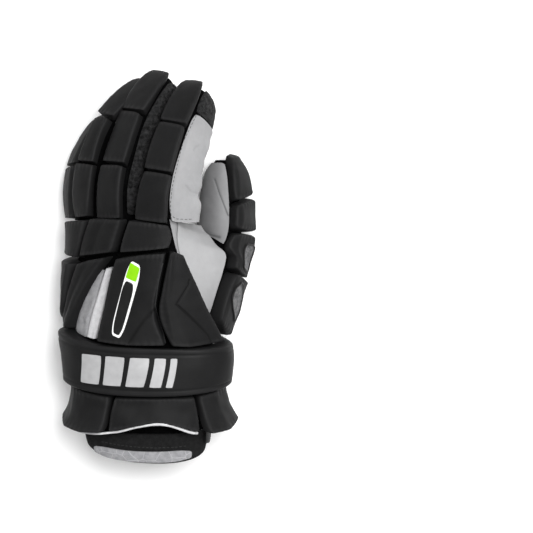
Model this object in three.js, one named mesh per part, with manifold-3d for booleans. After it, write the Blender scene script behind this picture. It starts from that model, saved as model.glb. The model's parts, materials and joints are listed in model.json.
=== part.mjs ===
// A padded glove for the left hand, lying palm down: fingers towards +Y, thumb towards +X.
// Every piece lies on a skin: a tube with rounded sections, on which a place is given by an angle
// round the section (0 thumb side, 90 back of the hand, 180 little finger side, 270 palm), a share
// of the way along the tube, and a lift above its surface.

import * as THREE from 'three';
import { mergeVertices } from 'three/addons/utils/BufferGeometryUtils.js';
import Module from 'manifold-3d';

const wasm = await Module();
wasm.setup();

// Driving dimensions, in millimetres
const clearance = 0.3;
const padSeat = 0.9;
const handLength = 206;
const wristWidth = 120;
const wristDepth = 63;
const leatherWall = 2.2;
const skinThickness = 1.2;
const stallLength = { index: 112, middle: 126, ring: 114, pinky: 92, thumb: 151 };
const stallWidth = { index: 39, middle: 29, ring: 24, pinky: 18.5, thumb: 30 };
const stallDepth = { index: 38, middle: 32, ring: 29, pinky: 23, thumb: 34 };
const webThickness = 1.6;
const fingerPad = 8.5;
const knucklePad = 9.5;
const backPad = 10.5;
const ventStripThickness = 4.5;
const bandThickness = 14;
const bandBulge = 2.5;
const strapThickness = 5;
const flareThickness = 10;
const flareBell = 10;
const cuffPadding = 6.5;
const cuffThinning = 3;
const liningThickness = 1.5;
const pipingDiameter = 3;
const tabThickness = 2;
const restHeight = 1.2;

const degree = Math.PI / 180;

// A table with named columns: one object for each row
function table(columns, rows) {
  const names = columns.split(' ');
  return rows.map((row) => Object.fromEntries(names.map((name, i) => [name, row[i]])));
}

// Value of one column at a place between the rows, on a smooth curve through them
function smooth(rows, column, at) {
  let i = 0;
  while (i < rows.length - 2 && at > rows[i + 1].at) i += 1;
  const slope = (j) => {
    const before = rows[Math.max(j - 1, 0)];
    const after = rows[Math.min(j + 1, rows.length - 1)];
    return (after[column] - before[column]) / (after.at - before.at);
  };
  const span = rows[i + 1].at - rows[i].at;
  const x = (at - rows[i].at) / span;
  const rise = rows[i + 1][column] - rows[i][column];
  const start = slope(i) * span;
  const end = slope(i + 1) * span;
  return rows[i][column] + start * x + (3 * rise - 2 * start - end) * x * x
    + (start + end - 2 * rise) * x * x * x;
}

// Point of a rounded section, lifted along its outward normal
function sectionPoint(width, depth, roundness, angle, lift) {
  const c = Math.cos(angle * degree);
  const s = Math.sin(angle * degree);
  const power = (value, exponent) => Math.sign(value) * Math.abs(value) ** exponent;
  const normal = new THREE.Vector2(
    power(c, 2 - 2 / roundness) / width,
    power(s, 2 - 2 / roundness) / depth,
  ).normalize();
  return new THREE.Vector2(
    (width / 2) * power(c, 2 / roundness) + lift * normal.x,
    (depth / 2) * power(s, 2 / roundness) + lift * normal.y,
  );
}

// The hand, from the mouth of the cuff (0) to the knuckle line (1)
const handRoundness = 2.3;
const handSections = table('at x z width depth roll lean', [
  [0, -0.092, 0.580, 0.820, 0.887, 4, 0.25],
  [0.13, -0.092, 0.600, 0.859, 0.933, 4, 0.25],
  [0.30, -0.084, 0.653, 0.920, 0.987, 5, 0.25],
  [0.43, -0.074, 0.690, 0.985, 1.000, 8, 0.24],
  [0.51, -0.088, 0.700, 0.997, 1.000, 10, 0.22],
  [0.71, -0.146, 0.747, 0.928, 0.867, 24, 0.12],
  [0.875, -0.192, 0.780, 0.860, 0.745, 33, 0.05],
  [1, -0.222, 0.780, 0.840, 0.660, 37, 0],
]);
const cuffY = -166;

function handSection(at) {
  const value = (column) => smooth(handSections, column, at);
  return {
    centre: new THREE.Vector3(value('x') * wristWidth, cuffY + handLength * at, value('z') * wristDepth),
    width: value('width') * wristWidth,
    depth: value('depth') * wristDepth,
    roll: value('roll') * degree,
    lean: value('lean'),
  };
}

function handSkin(angle, at, lift) {
  const { centre, width, depth, roll, lean } = handSection(at);
  const p = sectionPoint(width, depth, handRoundness, angle, lift).rotateAround(new THREE.Vector2(), roll);
  return new THREE.Vector3(centre.x + p.x, centre.y - lean * p.y, centre.z + p.y);
}

// The fingers: a share of the knuckle section where each starts, then its spine as shares of its length
const fingerSpines = {
  index: table('reach side drop', [
    [0, 0, 0], [0.25, 0.03, 0.01], [0.54, 0.11, -0.07], [0.82, 0.20, -0.20], [0.95, 0.26, -0.32]]),
  middle: table('reach side drop', [
    [0, 0, 0], [0.23, 0.01, 0.02], [0.48, 0.08, -0.03], [0.76, 0.18, -0.12], [0.95, 0.27, -0.24]]),
  ring: table('reach side drop', [
    [0, 0, 0], [0.22, -0.02, 0.01], [0.46, 0.02, 0], [0.70, 0.13, -0.04], [0.90, 0.30, -0.10],
    [0.975, 0.375, -0.13]]),
  pinky: table('reach side drop', [
    [0, 0, 0], [0.26, -0.02, 0], [0.50, 0.02, -0.04], [0.74, 0.14, -0.08], [0.90, 0.28, -0.11]]),
};
const fingerPlaces = table('name height tilt turn', [
  ['pinky', -0.06, 50, 4],
  ['ring', 0.06, 43, 2],
  ['middle', 0.09, 35, 0],
  ['index', -0.10, 32, 0],
]);
const fingerOrder = ['index', 'middle', 'ring', 'pinky'];
// Size of a stall's section along its length: full, then closing round the fingertip
const stallTaper = table('at size', [
  [0, 0.96], [0.12, 1], [0.45, 1], [0.72, 0.96], [0.88, 0.84], [0.96, 0.6], [1, 0.25]]);

function baseOf(name) {
  const knuckles = handSection(1);
  const names = fingerPlaces.map((place) => place.name);
  const total = names.reduce((sum, each) => sum + stallWidth[each] + clearance, 0);
  let across = -total / 2;
  for (const each of names) {
    if (each === name) break;
    across += stallWidth[each] + clearance;
  }
  const { height } = fingerPlaces.find((place) => place.name === name);
  const p = new THREE.Vector2(across + stallWidth[name] / 2, height * knuckles.depth)
    .rotateAround(new THREE.Vector2(), knuckles.roll);
  return new THREE.Vector3(knuckles.centre.x + p.x, knuckles.centre.y + clearance, knuckles.centre.z + p.y);
}

function limbSkin({ spine, width, depth, tilt, turn, taper, roundness, straight }) {
  const forward = new THREE.Vector3(0, 1, 0);
  const up = (at) => {
    const angle = (tilt + turn * at) * degree;
    return new THREE.Vector3(-Math.sin(angle), 0, Math.cos(angle));
  };
  return (angle, at, lift) => {
    const inside = THREE.MathUtils.clamp(at, 0, 1);
    const tangent = spine.getTangentAt(inside);
    const settled = straight ? THREE.MathUtils.smoothstep(at, 0, 0.2) : 1;
    tangent.lerp(forward, 1 - settled).normalize();
    const back = up(inside);
    back.addScaledVector(tangent, -back.dot(tangent)).normalize();
    const side = tangent.clone().cross(back);
    const size = smooth(taper, 'size', inside);
    const p = sectionPoint(width * size, depth * size, roundness, angle, lift);
    return spine.getPointAt(inside)
      .addScaledVector(tangent, (at - inside) * spine.getLength())
      .addScaledVector(side, p.x)
      .addScaledVector(back, p.y);
  };
}

function fingerSkin(name) {
  const base = baseOf(name);
  const length = stallLength[name];
  const { tilt, turn } = fingerPlaces.find((place) => place.name === name);
  const points = fingerSpines[name].map((row) => new THREE.Vector3(
    base.x + row.side * length, base.y + row.reach * length, base.z + row.drop * length));
  return limbSkin({
    spine: new THREE.CatmullRomCurve3(points),
    width: stallWidth[name],
    depth: stallDepth[name],
    tilt,
    turn,
    taper: stallTaper,
    roundness: 2.7,
    straight: true,
  });
}

const skins = Object.fromEntries(fingerPlaces.map(({ name }) => [name, fingerSkin(name)]));

// The thumb starts inside the hand, by the band, and leaves it through the side of the palm
const thumbRoot = { x: 0.24, y: -56, z: 0.60 };
const thumbSpine = table('reach side drop', [
  [0, 0, 0], [0.15, 0.05, -0.025], [0.33, 0.10, -0.065], [0.50, 0.145, -0.10],
  [0.71, 0.155, -0.125], [0.92, 0.16, -0.13], [0.98, 0.16, -0.13]]);
const thumbTilt = -52;
const thumbTaper = table('at size', [
  [0, 0.92], [0.3, 1], [0.55, 1.02], [0.72, 0.98], [0.84, 0.86], [0.93, 0.68], [1, 0.32]]);

function thumbSkin() {
  const root = new THREE.Vector3(thumbRoot.x * wristWidth, thumbRoot.y, thumbRoot.z * wristDepth);
  const length = stallLength.thumb;
  const points = thumbSpine.map((row) => new THREE.Vector3(
    root.x + row.side * length, root.y + row.reach * length, root.z + row.drop * length));
  return limbSkin({
    spine: new THREE.CatmullRomCurve3(points),
    width: stallWidth.thumb,
    depth: stallDepth.thumb,
    tilt: thumbTilt,
    turn: 0,
    taper: thumbTaper,
    roundness: 2.7,
    straight: false,
  });
}
skins.thumb = thumbSkin();
skins.hand = handSkin;

// Closed body between two grids of points: outer and inner hold rows of points along the piece.
// wrap joins the last column to the first.
function shellBetween(outer, inner, wrap = false) {
  const rows = outer.length;
  const columns = outer[0].length;
  const across = wrap ? columns : columns - 1;
  const points = [outer, inner].flatMap((grid) => grid.flat());
  const index = (side, i, j) => side * rows * columns + i * columns + (j % columns);
  const triangles = [];
  const quad = (a, b, c, d) => triangles.push([a, b, c], [a, c, d]);
  for (let i = 0; i < rows - 1; i += 1) {
    for (let j = 0; j < across; j += 1) {
      quad(index(0, i, j), index(0, i + 1, j), index(0, i + 1, j + 1), index(0, i, j + 1));
      quad(index(1, i, j), index(1, i, j + 1), index(1, i + 1, j + 1), index(1, i + 1, j));
    }
  }
  const wall = (i0, j0, i1, j1) => {
    quad(index(0, i0, j0), index(0, i1, j1), index(1, i1, j1), index(1, i0, j0));
  };
  for (let j = 0; j < across; j += 1) {
    wall(0, j, 0, j + 1);
    wall(rows - 1, j + 1, rows - 1, j);
  }
  for (let i = 0; i < rows - 1 && !wrap; i += 1) {
    wall(i + 1, 0, i, 0);
    wall(i, across, i + 1, across);
  }
  return bodyOf(points, triangles);
}

// Merges equal points, drops empty triangles and turns the faces outwards
function bodyOf(points, triangles) {
  const soup = new THREE.BufferGeometry();
  soup.setAttribute('position', new THREE.Float32BufferAttribute(points.flatMap((p) => p.toArray()), 3));
  soup.setIndex(triangles.flat());
  const body = mergeVertices(soup, 0.005);
  const order = Array.from(body.index.array);
  const faces = [];
  for (let k = 0; k < order.length; k += 3) {
    const [a, b, c] = order.slice(k, k + 3);
    if (a !== b && b !== c && c !== a) faces.push(a, b, c);
  }
  const corner = (k) => new THREE.Vector3().fromBufferAttribute(body.attributes.position, faces[k]);
  let volume = 0;
  for (let k = 0; k < faces.length; k += 3) volume += corner(k).dot(corner(k + 1).cross(corner(k + 2)));
  if (volume < 0) faces.reverse();
  body.setIndex(faces);
  body.computeVertexNormals();
  return body;
}

function solidOf(geometry) {
  const mesh = new wasm.Mesh({
    numProp: 3,
    vertProperties: new Float32Array(geometry.attributes.position.array),
    triVerts: new Uint32Array(geometry.index.array),
  });
  return new wasm.Manifold(mesh);
}

// What is left of a body after others are cut out of it
function cut(geometry, ...tools) {
  const left = tools
    .reduce((body, tool) => body.subtract(solidOf(tool)), solidOf(geometry))
    .decompose()
    .sort((a, b) => b.volume() - a.volume())[0]
    .getMesh();
  const points = [];
  for (let k = 0; k < left.vertProperties.length; k += left.numProp) {
    points.push(new THREE.Vector3().fromArray(left.vertProperties, k));
  }
  const triangles = [];
  for (let k = 0; k < left.triVerts.length; k += 3) {
    triangles.push(Array.from(left.triVerts.slice(k, k + 3)));
  }
  return bodyOf(points, triangles);
}

// A body cut back from those neighbours that reach into it
function fitted(geometry, ...neighbours) {
  const near = neighbours.filter((each) => touches(geometry, each));
  return near.length ? cut(geometry, ...near.map((each) => grown(each, clearance))) : geometry;
}

function touches(first, second) {
  const grownSecond = grown(second, clearance);
  return solidOf(first).intersect(solidOf(grownSecond)).volume() > 1e-3;
}

// The same body with its faces moved outwards, by which its neighbours are cut to leave a gap
function grown(geometry, gap) {
  const body = geometry.clone();
  body.computeVertexNormals();
  const { position, normal } = body.attributes;
  for (let k = 0; k < position.count; k += 1) {
    const p = new THREE.Vector3().fromBufferAttribute(position, k);
    const out = new THREE.Vector3().fromBufferAttribute(normal, k);
    p.addScaledVector(out, 1.3 * gap);
    position.setXYZ(k, p.x, p.y, p.z);
  }
  return body;
}

// Places from 0 to 1: evenly spaced, or with one more close to each end for a pad's shoulder
function even(count) {
  return Array.from({ length: count + 1 }, (_, i) => i / count);
}

function shouldered(count) {
  const shoulder = 0.07;
  return [0, shoulder, ...even(count).slice(1, -1), 1 - shoulder, 1];
}

// Rounds the corners of a patch: moves a place of the unit square towards the middle near a corner
function roundedCorner(u, v, amount) {
  const x = 2 * u - 1;
  const y = 2 * v - 1;
  return [
    (x * (1 - amount * Math.abs(y) ** 6) + 1) / 2,
    (y * (1 - amount * Math.abs(x) ** 6) + 1) / 2,
  ];
}

// Height of a pad over its patch: steep sides, rounded shoulders and a slightly crowned top
function padHeight(u, v) {
  const shoulder = (x) => (1 - Math.abs(2 * x - 1) ** 5);
  return 0.42 + 0.48 * Math.min(shoulder(u), 1) * Math.min(shoulder(v), 1)
    + 0.10 * Math.sin(Math.PI * u) * Math.sin(Math.PI * v);
}

// Place on a patch whose rows run from one angle and share to another
function patchPlace(rows, u, v) {
  const steps = rows.map((row, i) => ({ ...row, at: i / (rows.length - 1) }));
  const value = (column) => smooth(steps, column, v);
  const angle = THREE.MathUtils.lerp(value('angle0'), value('angle1'), u);
  const at = THREE.MathUtils.lerp(value('at0'), value('at1'), u);
  return [angle, at];
}

const patchTable = (rows) => table('angle0 at0 angle1 at1', rows);

// Where on a patch an angle and a share are found, each from 0 to 1
function placeInPatch(rows, angle, at) {
  const reach = Math.abs(rows[0].angle1 - rows[0].angle0);
  const length = rows[rows.length - 1].at0 - rows[0].at0;
  let [u, v] = [0.5, 0.5];
  for (let step = 0; step < 12; step += 1) {
    const [angleHere, atHere] = patchPlace(rows, u, v);
    u = THREE.MathUtils.clamp(u + (angle - angleHere) / reach, 0, 1);
    v = THREE.MathUtils.clamp(v + (at - atHere) / length, 0, 1);
  }
  return [u, v];
}

// A pad on a skin. base is its lift above the skin, bell an extra lift towards its first row
function pad(skin, rows, thickness, options = {}) {
  const { base = padSeat, bell = () => 0, across = 3, along = 3 } = options;
  const { corner = 0.06, bow = [0, 0], places = shouldered, flatten } = options;
  const us = places(across);
  const vs = places(along);
  const grid = (lift) => vs.map((v) => us.map((u) => {
    const [ru, rv] = roundedCorner(u, v, corner);
    const [angle, at] = patchPlace(rows, ru, rv);
    const bowed = at + THREE.MathUtils.lerp(...bow, v) * Math.sin(Math.PI * u);
    const p = skin(angle, bowed, base + bell(ru, rv) + lift(u, v));
    if (flatten !== undefined) p.z = Math.max(p.z, flatten);
    return p;
  }));
  return shellBetween(grid((u, v) => thickness * padHeight(u, v)), grid(() => 0));
}

// A thin sheet on a skin, one thickness all over. base gives its lift at an angle and a share
function sheet(skin, rows, options = {}) {
  const { base = () => padSeat, thickness = skinThickness, across = 4, along = 5, bow = [0, 0] } = options;
  const grid = (lift) => even(along).map((v) => even(across).map((u) => {
    const [angle, at] = patchPlace(rows, ...roundedCorner(u, v, 0.04));
    const bowed = at + THREE.MathUtils.lerp(...bow, v) * Math.sin(Math.PI * u);
    return skin(angle, bowed, base(angle, bowed) + lift);
  }));
  return shellBetween(grid(thickness), grid(0));
}

const parts = [];
const black = { color: 0x262628, roughness: 0.5, metalness: 0 };
const darkKnit = { color: 0x1d1d20, roughness: 0.9, metalness: 0 };
const grey = { color: 0xc4c4c6, roughness: 0.7, metalness: 0 };
const meshGrey = { color: 0x5c5c60, roughness: 0.8, metalness: 0 };
const liningGrey = { color: 0xa0a1a6, roughness: 0.8, metalness: 0 };

const partNamed = (name) => parts.find((part) => part.name === name).geometry;

function add(name, geometry, look) {
  const mesh = new THREE.Mesh(geometry, new THREE.MeshStandardMaterial(look));
  mesh.name = name;
  parts.push(mesh);
}

// Hand: the palm leather goes round the palm side and up the thumb side, the back shell closes it
const seam = { thumb: 12, pinky: 192 };
const seamGap = 0.6;

const seamPlaces = { palm: 16, back: 15 };
const handFrom = 0.16;

function shellAngles(angle0, angle1, columns) {
  return even(columns).map((u) => THREE.MathUtils.lerp(angle0, angle1, u));
}

function handAngles() {
  const back = shellAngles(seam.thumb, seam.pinky, seamPlaces.back);
  const palm = shellAngles(seam.pinky, seam.thumb + 360, seamPlaces.palm);
  return [...back.slice(0, -1), ...palm.slice(0, -1)];
}

const handSteps = even(9).map((v) => THREE.MathUtils.lerp(handFrom, 1, v));

function handShell(angle0, angle1, columns) {
  const angles = shellAngles(angle0, angle1, columns);
  const grid = (lift) => handSteps.map((at) => angles.map((angle) => handSkin(angle, at, lift)));
  return shellBetween(grid(0), grid(-leatherWall));
}

function hand() {
  const palm = handShell(seam.pinky + seamGap, 360 + seam.thumb - seamGap, seamPlaces.palm);
  add('palm_leather', cut(palm, thumbBore), grey);
  add('back_shell', handShell(seam.thumb, seam.pinky, seamPlaces.back), darkKnit);
}

// A solid tube of a skin, closed at both ends
function tubeSolid(skin, ats, angles, lift) {
  const middle = (at) => {
    const centre = skin(0, at, 0).add(skin(180, at, 0)).multiplyScalar(0.5);
    return angles.map(() => centre.clone());
  };
  const rings = ats.map((at) => angles.map((angle) => skin(angle, at, lift)));
  const grid = [middle(ats[0]), ...rings, middle(ats[ats.length - 1])];
  const points = grid.flat();
  const columns = angles.length;
  const triangles = [];
  for (let i = 0; i < grid.length - 1; i += 1) {
    for (let j = 0; j < columns; j += 1) {
      const next = (j + 1) % columns;
      const corner = [i * columns + j, (i + 1) * columns + j, (i + 1) * columns + next, i * columns + next];
      triangles.push([corner[0], corner[1], corner[2]], [corner[0], corner[2], corner[3]]);
    }
  }
  return bodyOf(points, triangles);
}

const roundAngles = (around) => even(around).slice(0, around).map((share) => 360 * share);
const stallPlaces = 14;
// Share of a stall where its hollow ends, a wall short of the tip
const innerEnd = (name) => 1 - leatherWall / stallLength[name];
const thumbSteps = [0, 0.14, 0.28, 0.42, 0.56, 0.70, 0.82, 0.91, 0.97, 1];
const thumbBoreSteps = thumbSteps.map((at) => at * innerEnd('thumb'));
const thumbBore = tubeSolid(skins.thumb, thumbBoreSteps, roundAngles(stallPlaces), -leatherWall);
const thumbForm = tubeSolid(skins.thumb, thumbSteps, roundAngles(stallPlaces), 0);
const handSolid = tubeSolid(handSkin, handSteps, handAngles(), clearance);

// Leather stretched from the side of the hand to the thumb: its edges on the hand's skin and the thumb's
const webEdges = table('at handAngle handAt thumbAngle thumbAt', [
  [0, 2, 0.60, 112, 0.10],
  [0.2, 4.5, 0.70, 112, 0.23],
  [0.4, 6, 0.77, 110, 0.33],
  [0.6, 8, 0.85, 112, 0.42],
  [0.8, 6, 0.92, 132, 0.48],
  [1, -10, 0.97, 140, 0.52],
]);
const webLift = { hand: 1, thumb: 2.4 };
const webSag = { low: 2.5, high: 6.5 };

function palmWeb() {
  const grid = (drop) => even(7).map((v) => even(4).map((u) => {
    const value = (column) => smooth(webEdges, column, v);
    const onHand = handSkin(value('handAngle'), value('handAt'), webLift.hand);
    const onThumb = skins.thumb(value('thumbAngle'), value('thumbAt'), webLift.thumb);
    const p = onHand.lerp(onThumb, u);
    p.z -= drop + THREE.MathUtils.lerp(webSag.low, webSag.high, v ** 3) * Math.sin(Math.PI * u);
    return p;
  }));
  const web = shellBetween(grid(0), grid(webThickness));
  const pads = thumbPads.map(({ name }) => partNamed(name));
  const skinsBelow = [partNamed('thumb_web'), partNamed('thumb_suede')];
  add('palm_web', fitted(web, handSolid, thumbForm, ...skinsBelow, ...pads), grey);
}

function thumb() {
  const neighbours = [thumbBore, handSolid, grown(partNamed('wrist_band'), clearance)];
  add('thumb_stall', cut(thumbForm, ...neighbours), darkKnit);
  const web = patchTable([[128, 0.08, 262, 0.08], [126, 0.24, 262, 0.24], [146, 0.40, 250, 0.44]]);
  add('thumb_web', cut(sheet(skins.thumb, web), handSolid), grey);
  const suede = patchTable([
    [130, 0.50, 262, 0.52],
    [121.5, 0.60, 262, 0.62],
    [120, 0.71, 262, 0.72],
    [123, 0.85, 262, 0.85],
    [126.5, 0.985, 255, 0.985],
  ]);
  add('thumb_suede', fitted(sheet(skins.thumb, suede), thumbForm), grey);
}

// Stalls of the fingers, from index to little finger: each yields to the one before it, which lies on it
const stallSteps = [0, 0.12, 0.3, 0.48, 0.66, 0.82, 0.93, 1];
const stallForms = {};

function stall(name, above) {
  const ends = stallSteps.map((at) => at * innerEnd(name));
  let outside = tubeSolid(skins[name], stallSteps, roundAngles(14), 0);
  let bore = tubeSolid(skins[name], [-clearance / 10, ...ends.slice(1)], roundAngles(14), -leatherWall);
  if (above) {
    outside = cut(outside, grown(stallForms[above], clearance));
    bore = cut(bore, grown(stallForms[above], clearance + leatherWall));
  }
  stallForms[name] = outside;
  return cut(outside, bore);
}

function fingers() {
  fingerOrder.forEach((name, i) => add(`${name}_stall`, stall(name, fingerOrder[i - 1]), darkKnit));
}

// How far the gusset stands out from the thumb side of its stall
const gussetBulge = table('at lift', [
  [0, 7.5], [0.12, 6.5], [0.2, 3.5], [0.3, 4], [0.42, 1.2], [0.6, 0.8], [0.75, 0.6]]);

// Thin skins on the sides of the stalls
function sideSkins() {
  const gusset = patchTable([
    [-58, 0.0, 38, 0.0],
    [-58, 0.12, 48.5, 0.12],
    [-58, 0.35, 51.5, 0.35],
    [-58, 0.62, 46.5, 0.635],
    [-50, 0.725, 39.5, 0.728],
  ]);
  const tip = patchTable([[-58, 0.735, 40, 0.74], [-50, 0.84, 38, 0.83], [-40, 0.97, 24, 0.985]]);
  const knit = patchTable([
    [12, 0.03, 50, 0.03],
    [11, 0.31, 53, 0.31],
    [14, 0.62, 58, 0.62],
    [-8, 0.96, 34, 0.92],
  ]);
  const indexPads = parts.filter((part) => part.name.startsWith('index_pad')).map((part) => part.geometry);
  const bulged = (angle, at) => {
    const lift = smooth(gussetBulge, 'lift', at);
    return padSeat + lift * THREE.MathUtils.clamp((20 - angle) / 40, 0, 1);
  };
  add('index_gusset', sheet(skins.index, gusset, { base: bulged, along: 9 }), grey);
  add('index_tip_mesh', fitted(sheet(skins.index, tip, { along: 4 }), stallForms.index), meshGrey);
  const strip = sheet(skins.middle, knit, { across: 2, along: 7 });
  add('middle_side_knit', fitted(strip, stallForms.index, ...indexPads), darkKnit);
}

// Pads of the fingers: across each row, from the thumb side to the side of the little finger
const fingerPads = {
  index_pad_proximal: [[49, 0.004, 116, 0.004], [53, 0.157, 112, 0.142], [52, 0.268, 104.5, 0.273]],
  index_pad_middle: [[53, 0.28, 106.5, 0.284], [54.5, 0.43, 108.5, 0.45], [54, 0.592, 103.5, 0.612]],
  index_pad_distal: [
    [52.5, 0.608, 106, 0.626], [47, 0.74, 103.5, 0.745], [42.5, 0.87, 97, 0.87], [38, 1, 92, 1]],
  middle_pad_proximal: [[54, 0.0, 140.5, 0.012], [55, 0.182, 133, 0.17], [57.5, 0.298, 138, 0.292]],
  middle_pad_middle: [[57, 0.312, 134, 0.315], [59.5, 0.467, 138, 0.487], [62, 0.64, 138, 0.655]],
  middle_pad_distal: [
    [58.5, 0.655, 137.5, 0.671], [52.5, 0.772, 127, 0.787], [43.5, 0.9, 112, 0.9], [38, 1, 104, 1]],
  ring_pad_proximal: [[78, 0.017, 136, 0.012], [64.5, 0.187, 128, 0.18], [61.5, 0.345, 128, 0.342]],
  ring_pad_middle: [[64, 0.362, 118, 0.358], [71, 0.507, 113, 0.475], [76, 0.634, 119, 0.61]],
  ring_pad_distal: [[66, 0.65, 131.5, 0.65], [66, 0.78, 129, 0.76], [64, 0.9, 128, 0.9], [60, 1, 122, 1]],
  pinky_pad_lower: [[66, 0.015, 162, 0.015], [61.5, 0.245, 162, 0.245], [62, 0.452, 158, 0.445]],
  pinky_pad_upper: [[60, 0.472, 160, 0.472], [66, 0.73, 158, 0.73], [70, 0.985, 150, 0.985]],
};
const tipPads = ['index_pad_distal', 'middle_pad_distal', 'ring_pad_distal', 'pinky_pad_upper'];

function padsOfFingers() {
  for (const [name, rows] of Object.entries(fingerPads)) {
    const [finger] = name.split('_');
    const above = fingerOrder[fingerOrder.indexOf(finger) - 1];
    const body = pad(skins[finger], patchTable(rows), fingerPad, { across: 3, along: rows.length - 1 });
    const others = parts
      .filter((part) => above && part.name.startsWith(`${above}_pad`))
      .map((part) => part.geometry);
    if (above) others.push(stallForms[above]);
    if (tipPads.includes(name)) others.push(stallForms[finger]);
    add(name, fitted(body, ...others), black);
  }
}

const thumbPads = table('name thickness rows', [
  ['thumb_pad_base', 14, [[30, 0.06, 104, 0.09], [24, 0.265, 107, 0.225], [26, 0.368, 101, 0.367]]],
  ['thumb_pad_lower', 11.5, [[24, 0.382, 102, 0.381], [24, 0.44, 104, 0.44], [24, 0.51, 127, 0.49],
    [28, 0.588, 118.5, 0.575]]],
  ['thumb_pad_middle', 12, [[28, 0.602, 119, 0.588], [26, 0.70, 117.5, 0.66], [28, 0.802, 117.5, 0.738]]],
  ['thumb_pad_distal', 10.5, [[28, 0.818, 117.5, 0.752], [30, 0.885, 121, 0.87], [34, 1, 124, 1]]],
]);

function padsOfThumb() {
  for (const { name, thickness, rows } of thumbPads) {
    const body = pad(skins.thumb, patchTable(rows), thickness, { across: 3, along: 2 });
    const [first, last] = [thumbPads[0].name, thumbPads[thumbPads.length - 1].name];
    const beside = { [first]: [handSolid, partNamed('wrist_band')], [last]: [thumbForm] }[name] ?? [];
    add(name, fitted(body, ...beside), black);
  }
}

// Mesh windows let into the thumb's two lowest pads
const thumbWindows = table('name pad rows', [
  ['thumb_window_base', 'thumb_pad_base',
    [[50, 0.13, 60, 0.13], [46, 0.20, 90, 0.20], [50, 0.27, 92, 0.27], [68, 0.325, 86, 0.32]]],
  ['thumb_window_lower', 'thumb_pad_lower', [[50, 0.415, 84, 0.415], [50, 0.54, 88, 0.53]]],
]);

function windowsOfThumb() {
  for (const window of thumbWindows) {
    const { thickness, rows } = thumbPads.find(({ name }) => name === window.pad);
    const base = (angle, at) => {
      const height = padHeight(...placeInPatch(patchTable(rows), angle, at));
      return padSeat + thickness * height + clearance;
    };
    const mesh = sheet(skins.thumb, patchTable(window.rows), { base, across: 3, along: 3 });
    add(window.name, fitted(mesh, partNamed(window.pad)), meshGrey);
  }
}

const knucklePads = table('name thickness rows', [
  ['knuckle_pinky', knucklePad + 2,
    [[129.5, 0.842, 170, 0.86], [119.5, 0.918, 168, 0.92], [109.5, 0.998, 165, 0.986]]],
  ['knuckle_middle', knucklePad,
    [[88.5, 0.87, 126, 0.848], [81.5, 0.934, 117.5, 0.926], [73, 0.994, 105.5, 0.998]]],
  ['knuckle_index', knucklePad,
    [[27.5, 0.89, 83, 0.868], [20, 0.932, 76.5, 0.93], [20.5, 0.976, 66.5, 0.994]]],
]);

function padsOfHand() {
  for (const { name, thickness, rows } of knucklePads) {
    add(name, pad(handSkin, patchTable(rows), thickness, { across: 4, along: 2 }), black);
  }
}

// Pads on the back of the hand, with one place across for each step of this angle
const padStep = 12;
const backPads = table('name thickness rows', [
  ['outer_roll', backPad + 3.5,
    [[185, 0.562, 226, 0.553], [160, 0.634, 220, 0.62], [147, 0.735, 212, 0.72], [135.5, 0.826, 204, 0.85]]],
  ['hand_side_pad', backPad,
    [[151, 0.549, 184, 0.56], [134, 0.638, 158.5, 0.626],
      [115.5, 0.74, 144.5, 0.72], [89.5, 0.862, 129, 0.824]]],
  ['back_plate', backPad,
    [[68, 0.5235, 120.5, 0.528], [67, 0.642, 109, 0.622],
      [53, 0.752, 98.5, 0.722], [30.5, 0.882, 86.5, 0.856]]],
  ['thumb_side_panel', backPad,
    [[9.5, 0.5235, 66.5, 0.5235], [10.5, 0.646, 65, 0.64],
      [11.5, 0.75, 51.5, 0.742], [14, 0.872, 27, 0.885]]],
]);
const ventFabric = [[136, 0.538, 149, 0.546], [118, 0.66, 130, 0.655], [101.5, 0.79, 103.5, 0.79]];
const ventStrip = [
  [122, 0.530, 134, 0.536], [110.5, 0.622, 121.5, 0.632], [100, 0.715, 110.5, 0.712], [92, 0.80, 98, 0.798]];

function back() {
  for (const { name, thickness, rows } of backPads) {
    const widest = Math.max(...rows.map(([angle0, , angle1]) => angle1 - angle0));
    const across = Math.ceil(widest / padStep);
    add(name, pad(handSkin, patchTable(rows), thickness, { across, along: 5, corner: 0.03 }), black);
  }
  const beside = [partNamed('hand_side_pad'), partNamed('back_plate')];
  const stripShape = { across: 2, along: 5, corner: 0.02 };
  const strip = pad(handSkin, patchTable(ventStrip), ventStripThickness, stripShape);
  add('vent_strip', fitted(strip, ...beside), grey);
  beside.push(partNamed('vent_strip'));
  add('vent_fabric', fitted(sheet(handSkin, patchTable(ventFabric)), ...beside), meshGrey);
}

// Wrist band: thick over the back of the hand, a plain strap below. Its edges dip at the sides
const flareArch = 0.037;
const band = { from: 0.328, to: 0.519, dip: 0.022, rise: 0.036 };
const bandPlaces = 26;
const cosine = (angle) => Math.cos(angle * degree);
const sine = (angle) => Math.sin(angle * degree);

function bandAt(angle, v) {
  const low = band.from + band.dip * Math.min(1 - sine(angle), 1);
  const high = band.to + band.rise * Math.max(0, -cosine(angle)) ** 3;
  return THREE.MathUtils.lerp(low, high, v);
}

function bandLift(angle) {
  const overBack = THREE.MathUtils.smoothstep(sine(angle), -0.35, 0.35);
  return THREE.MathUtils.lerp(strapThickness, bandThickness, overBack) + bandBulge * cosine(angle) ** 2;
}

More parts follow.
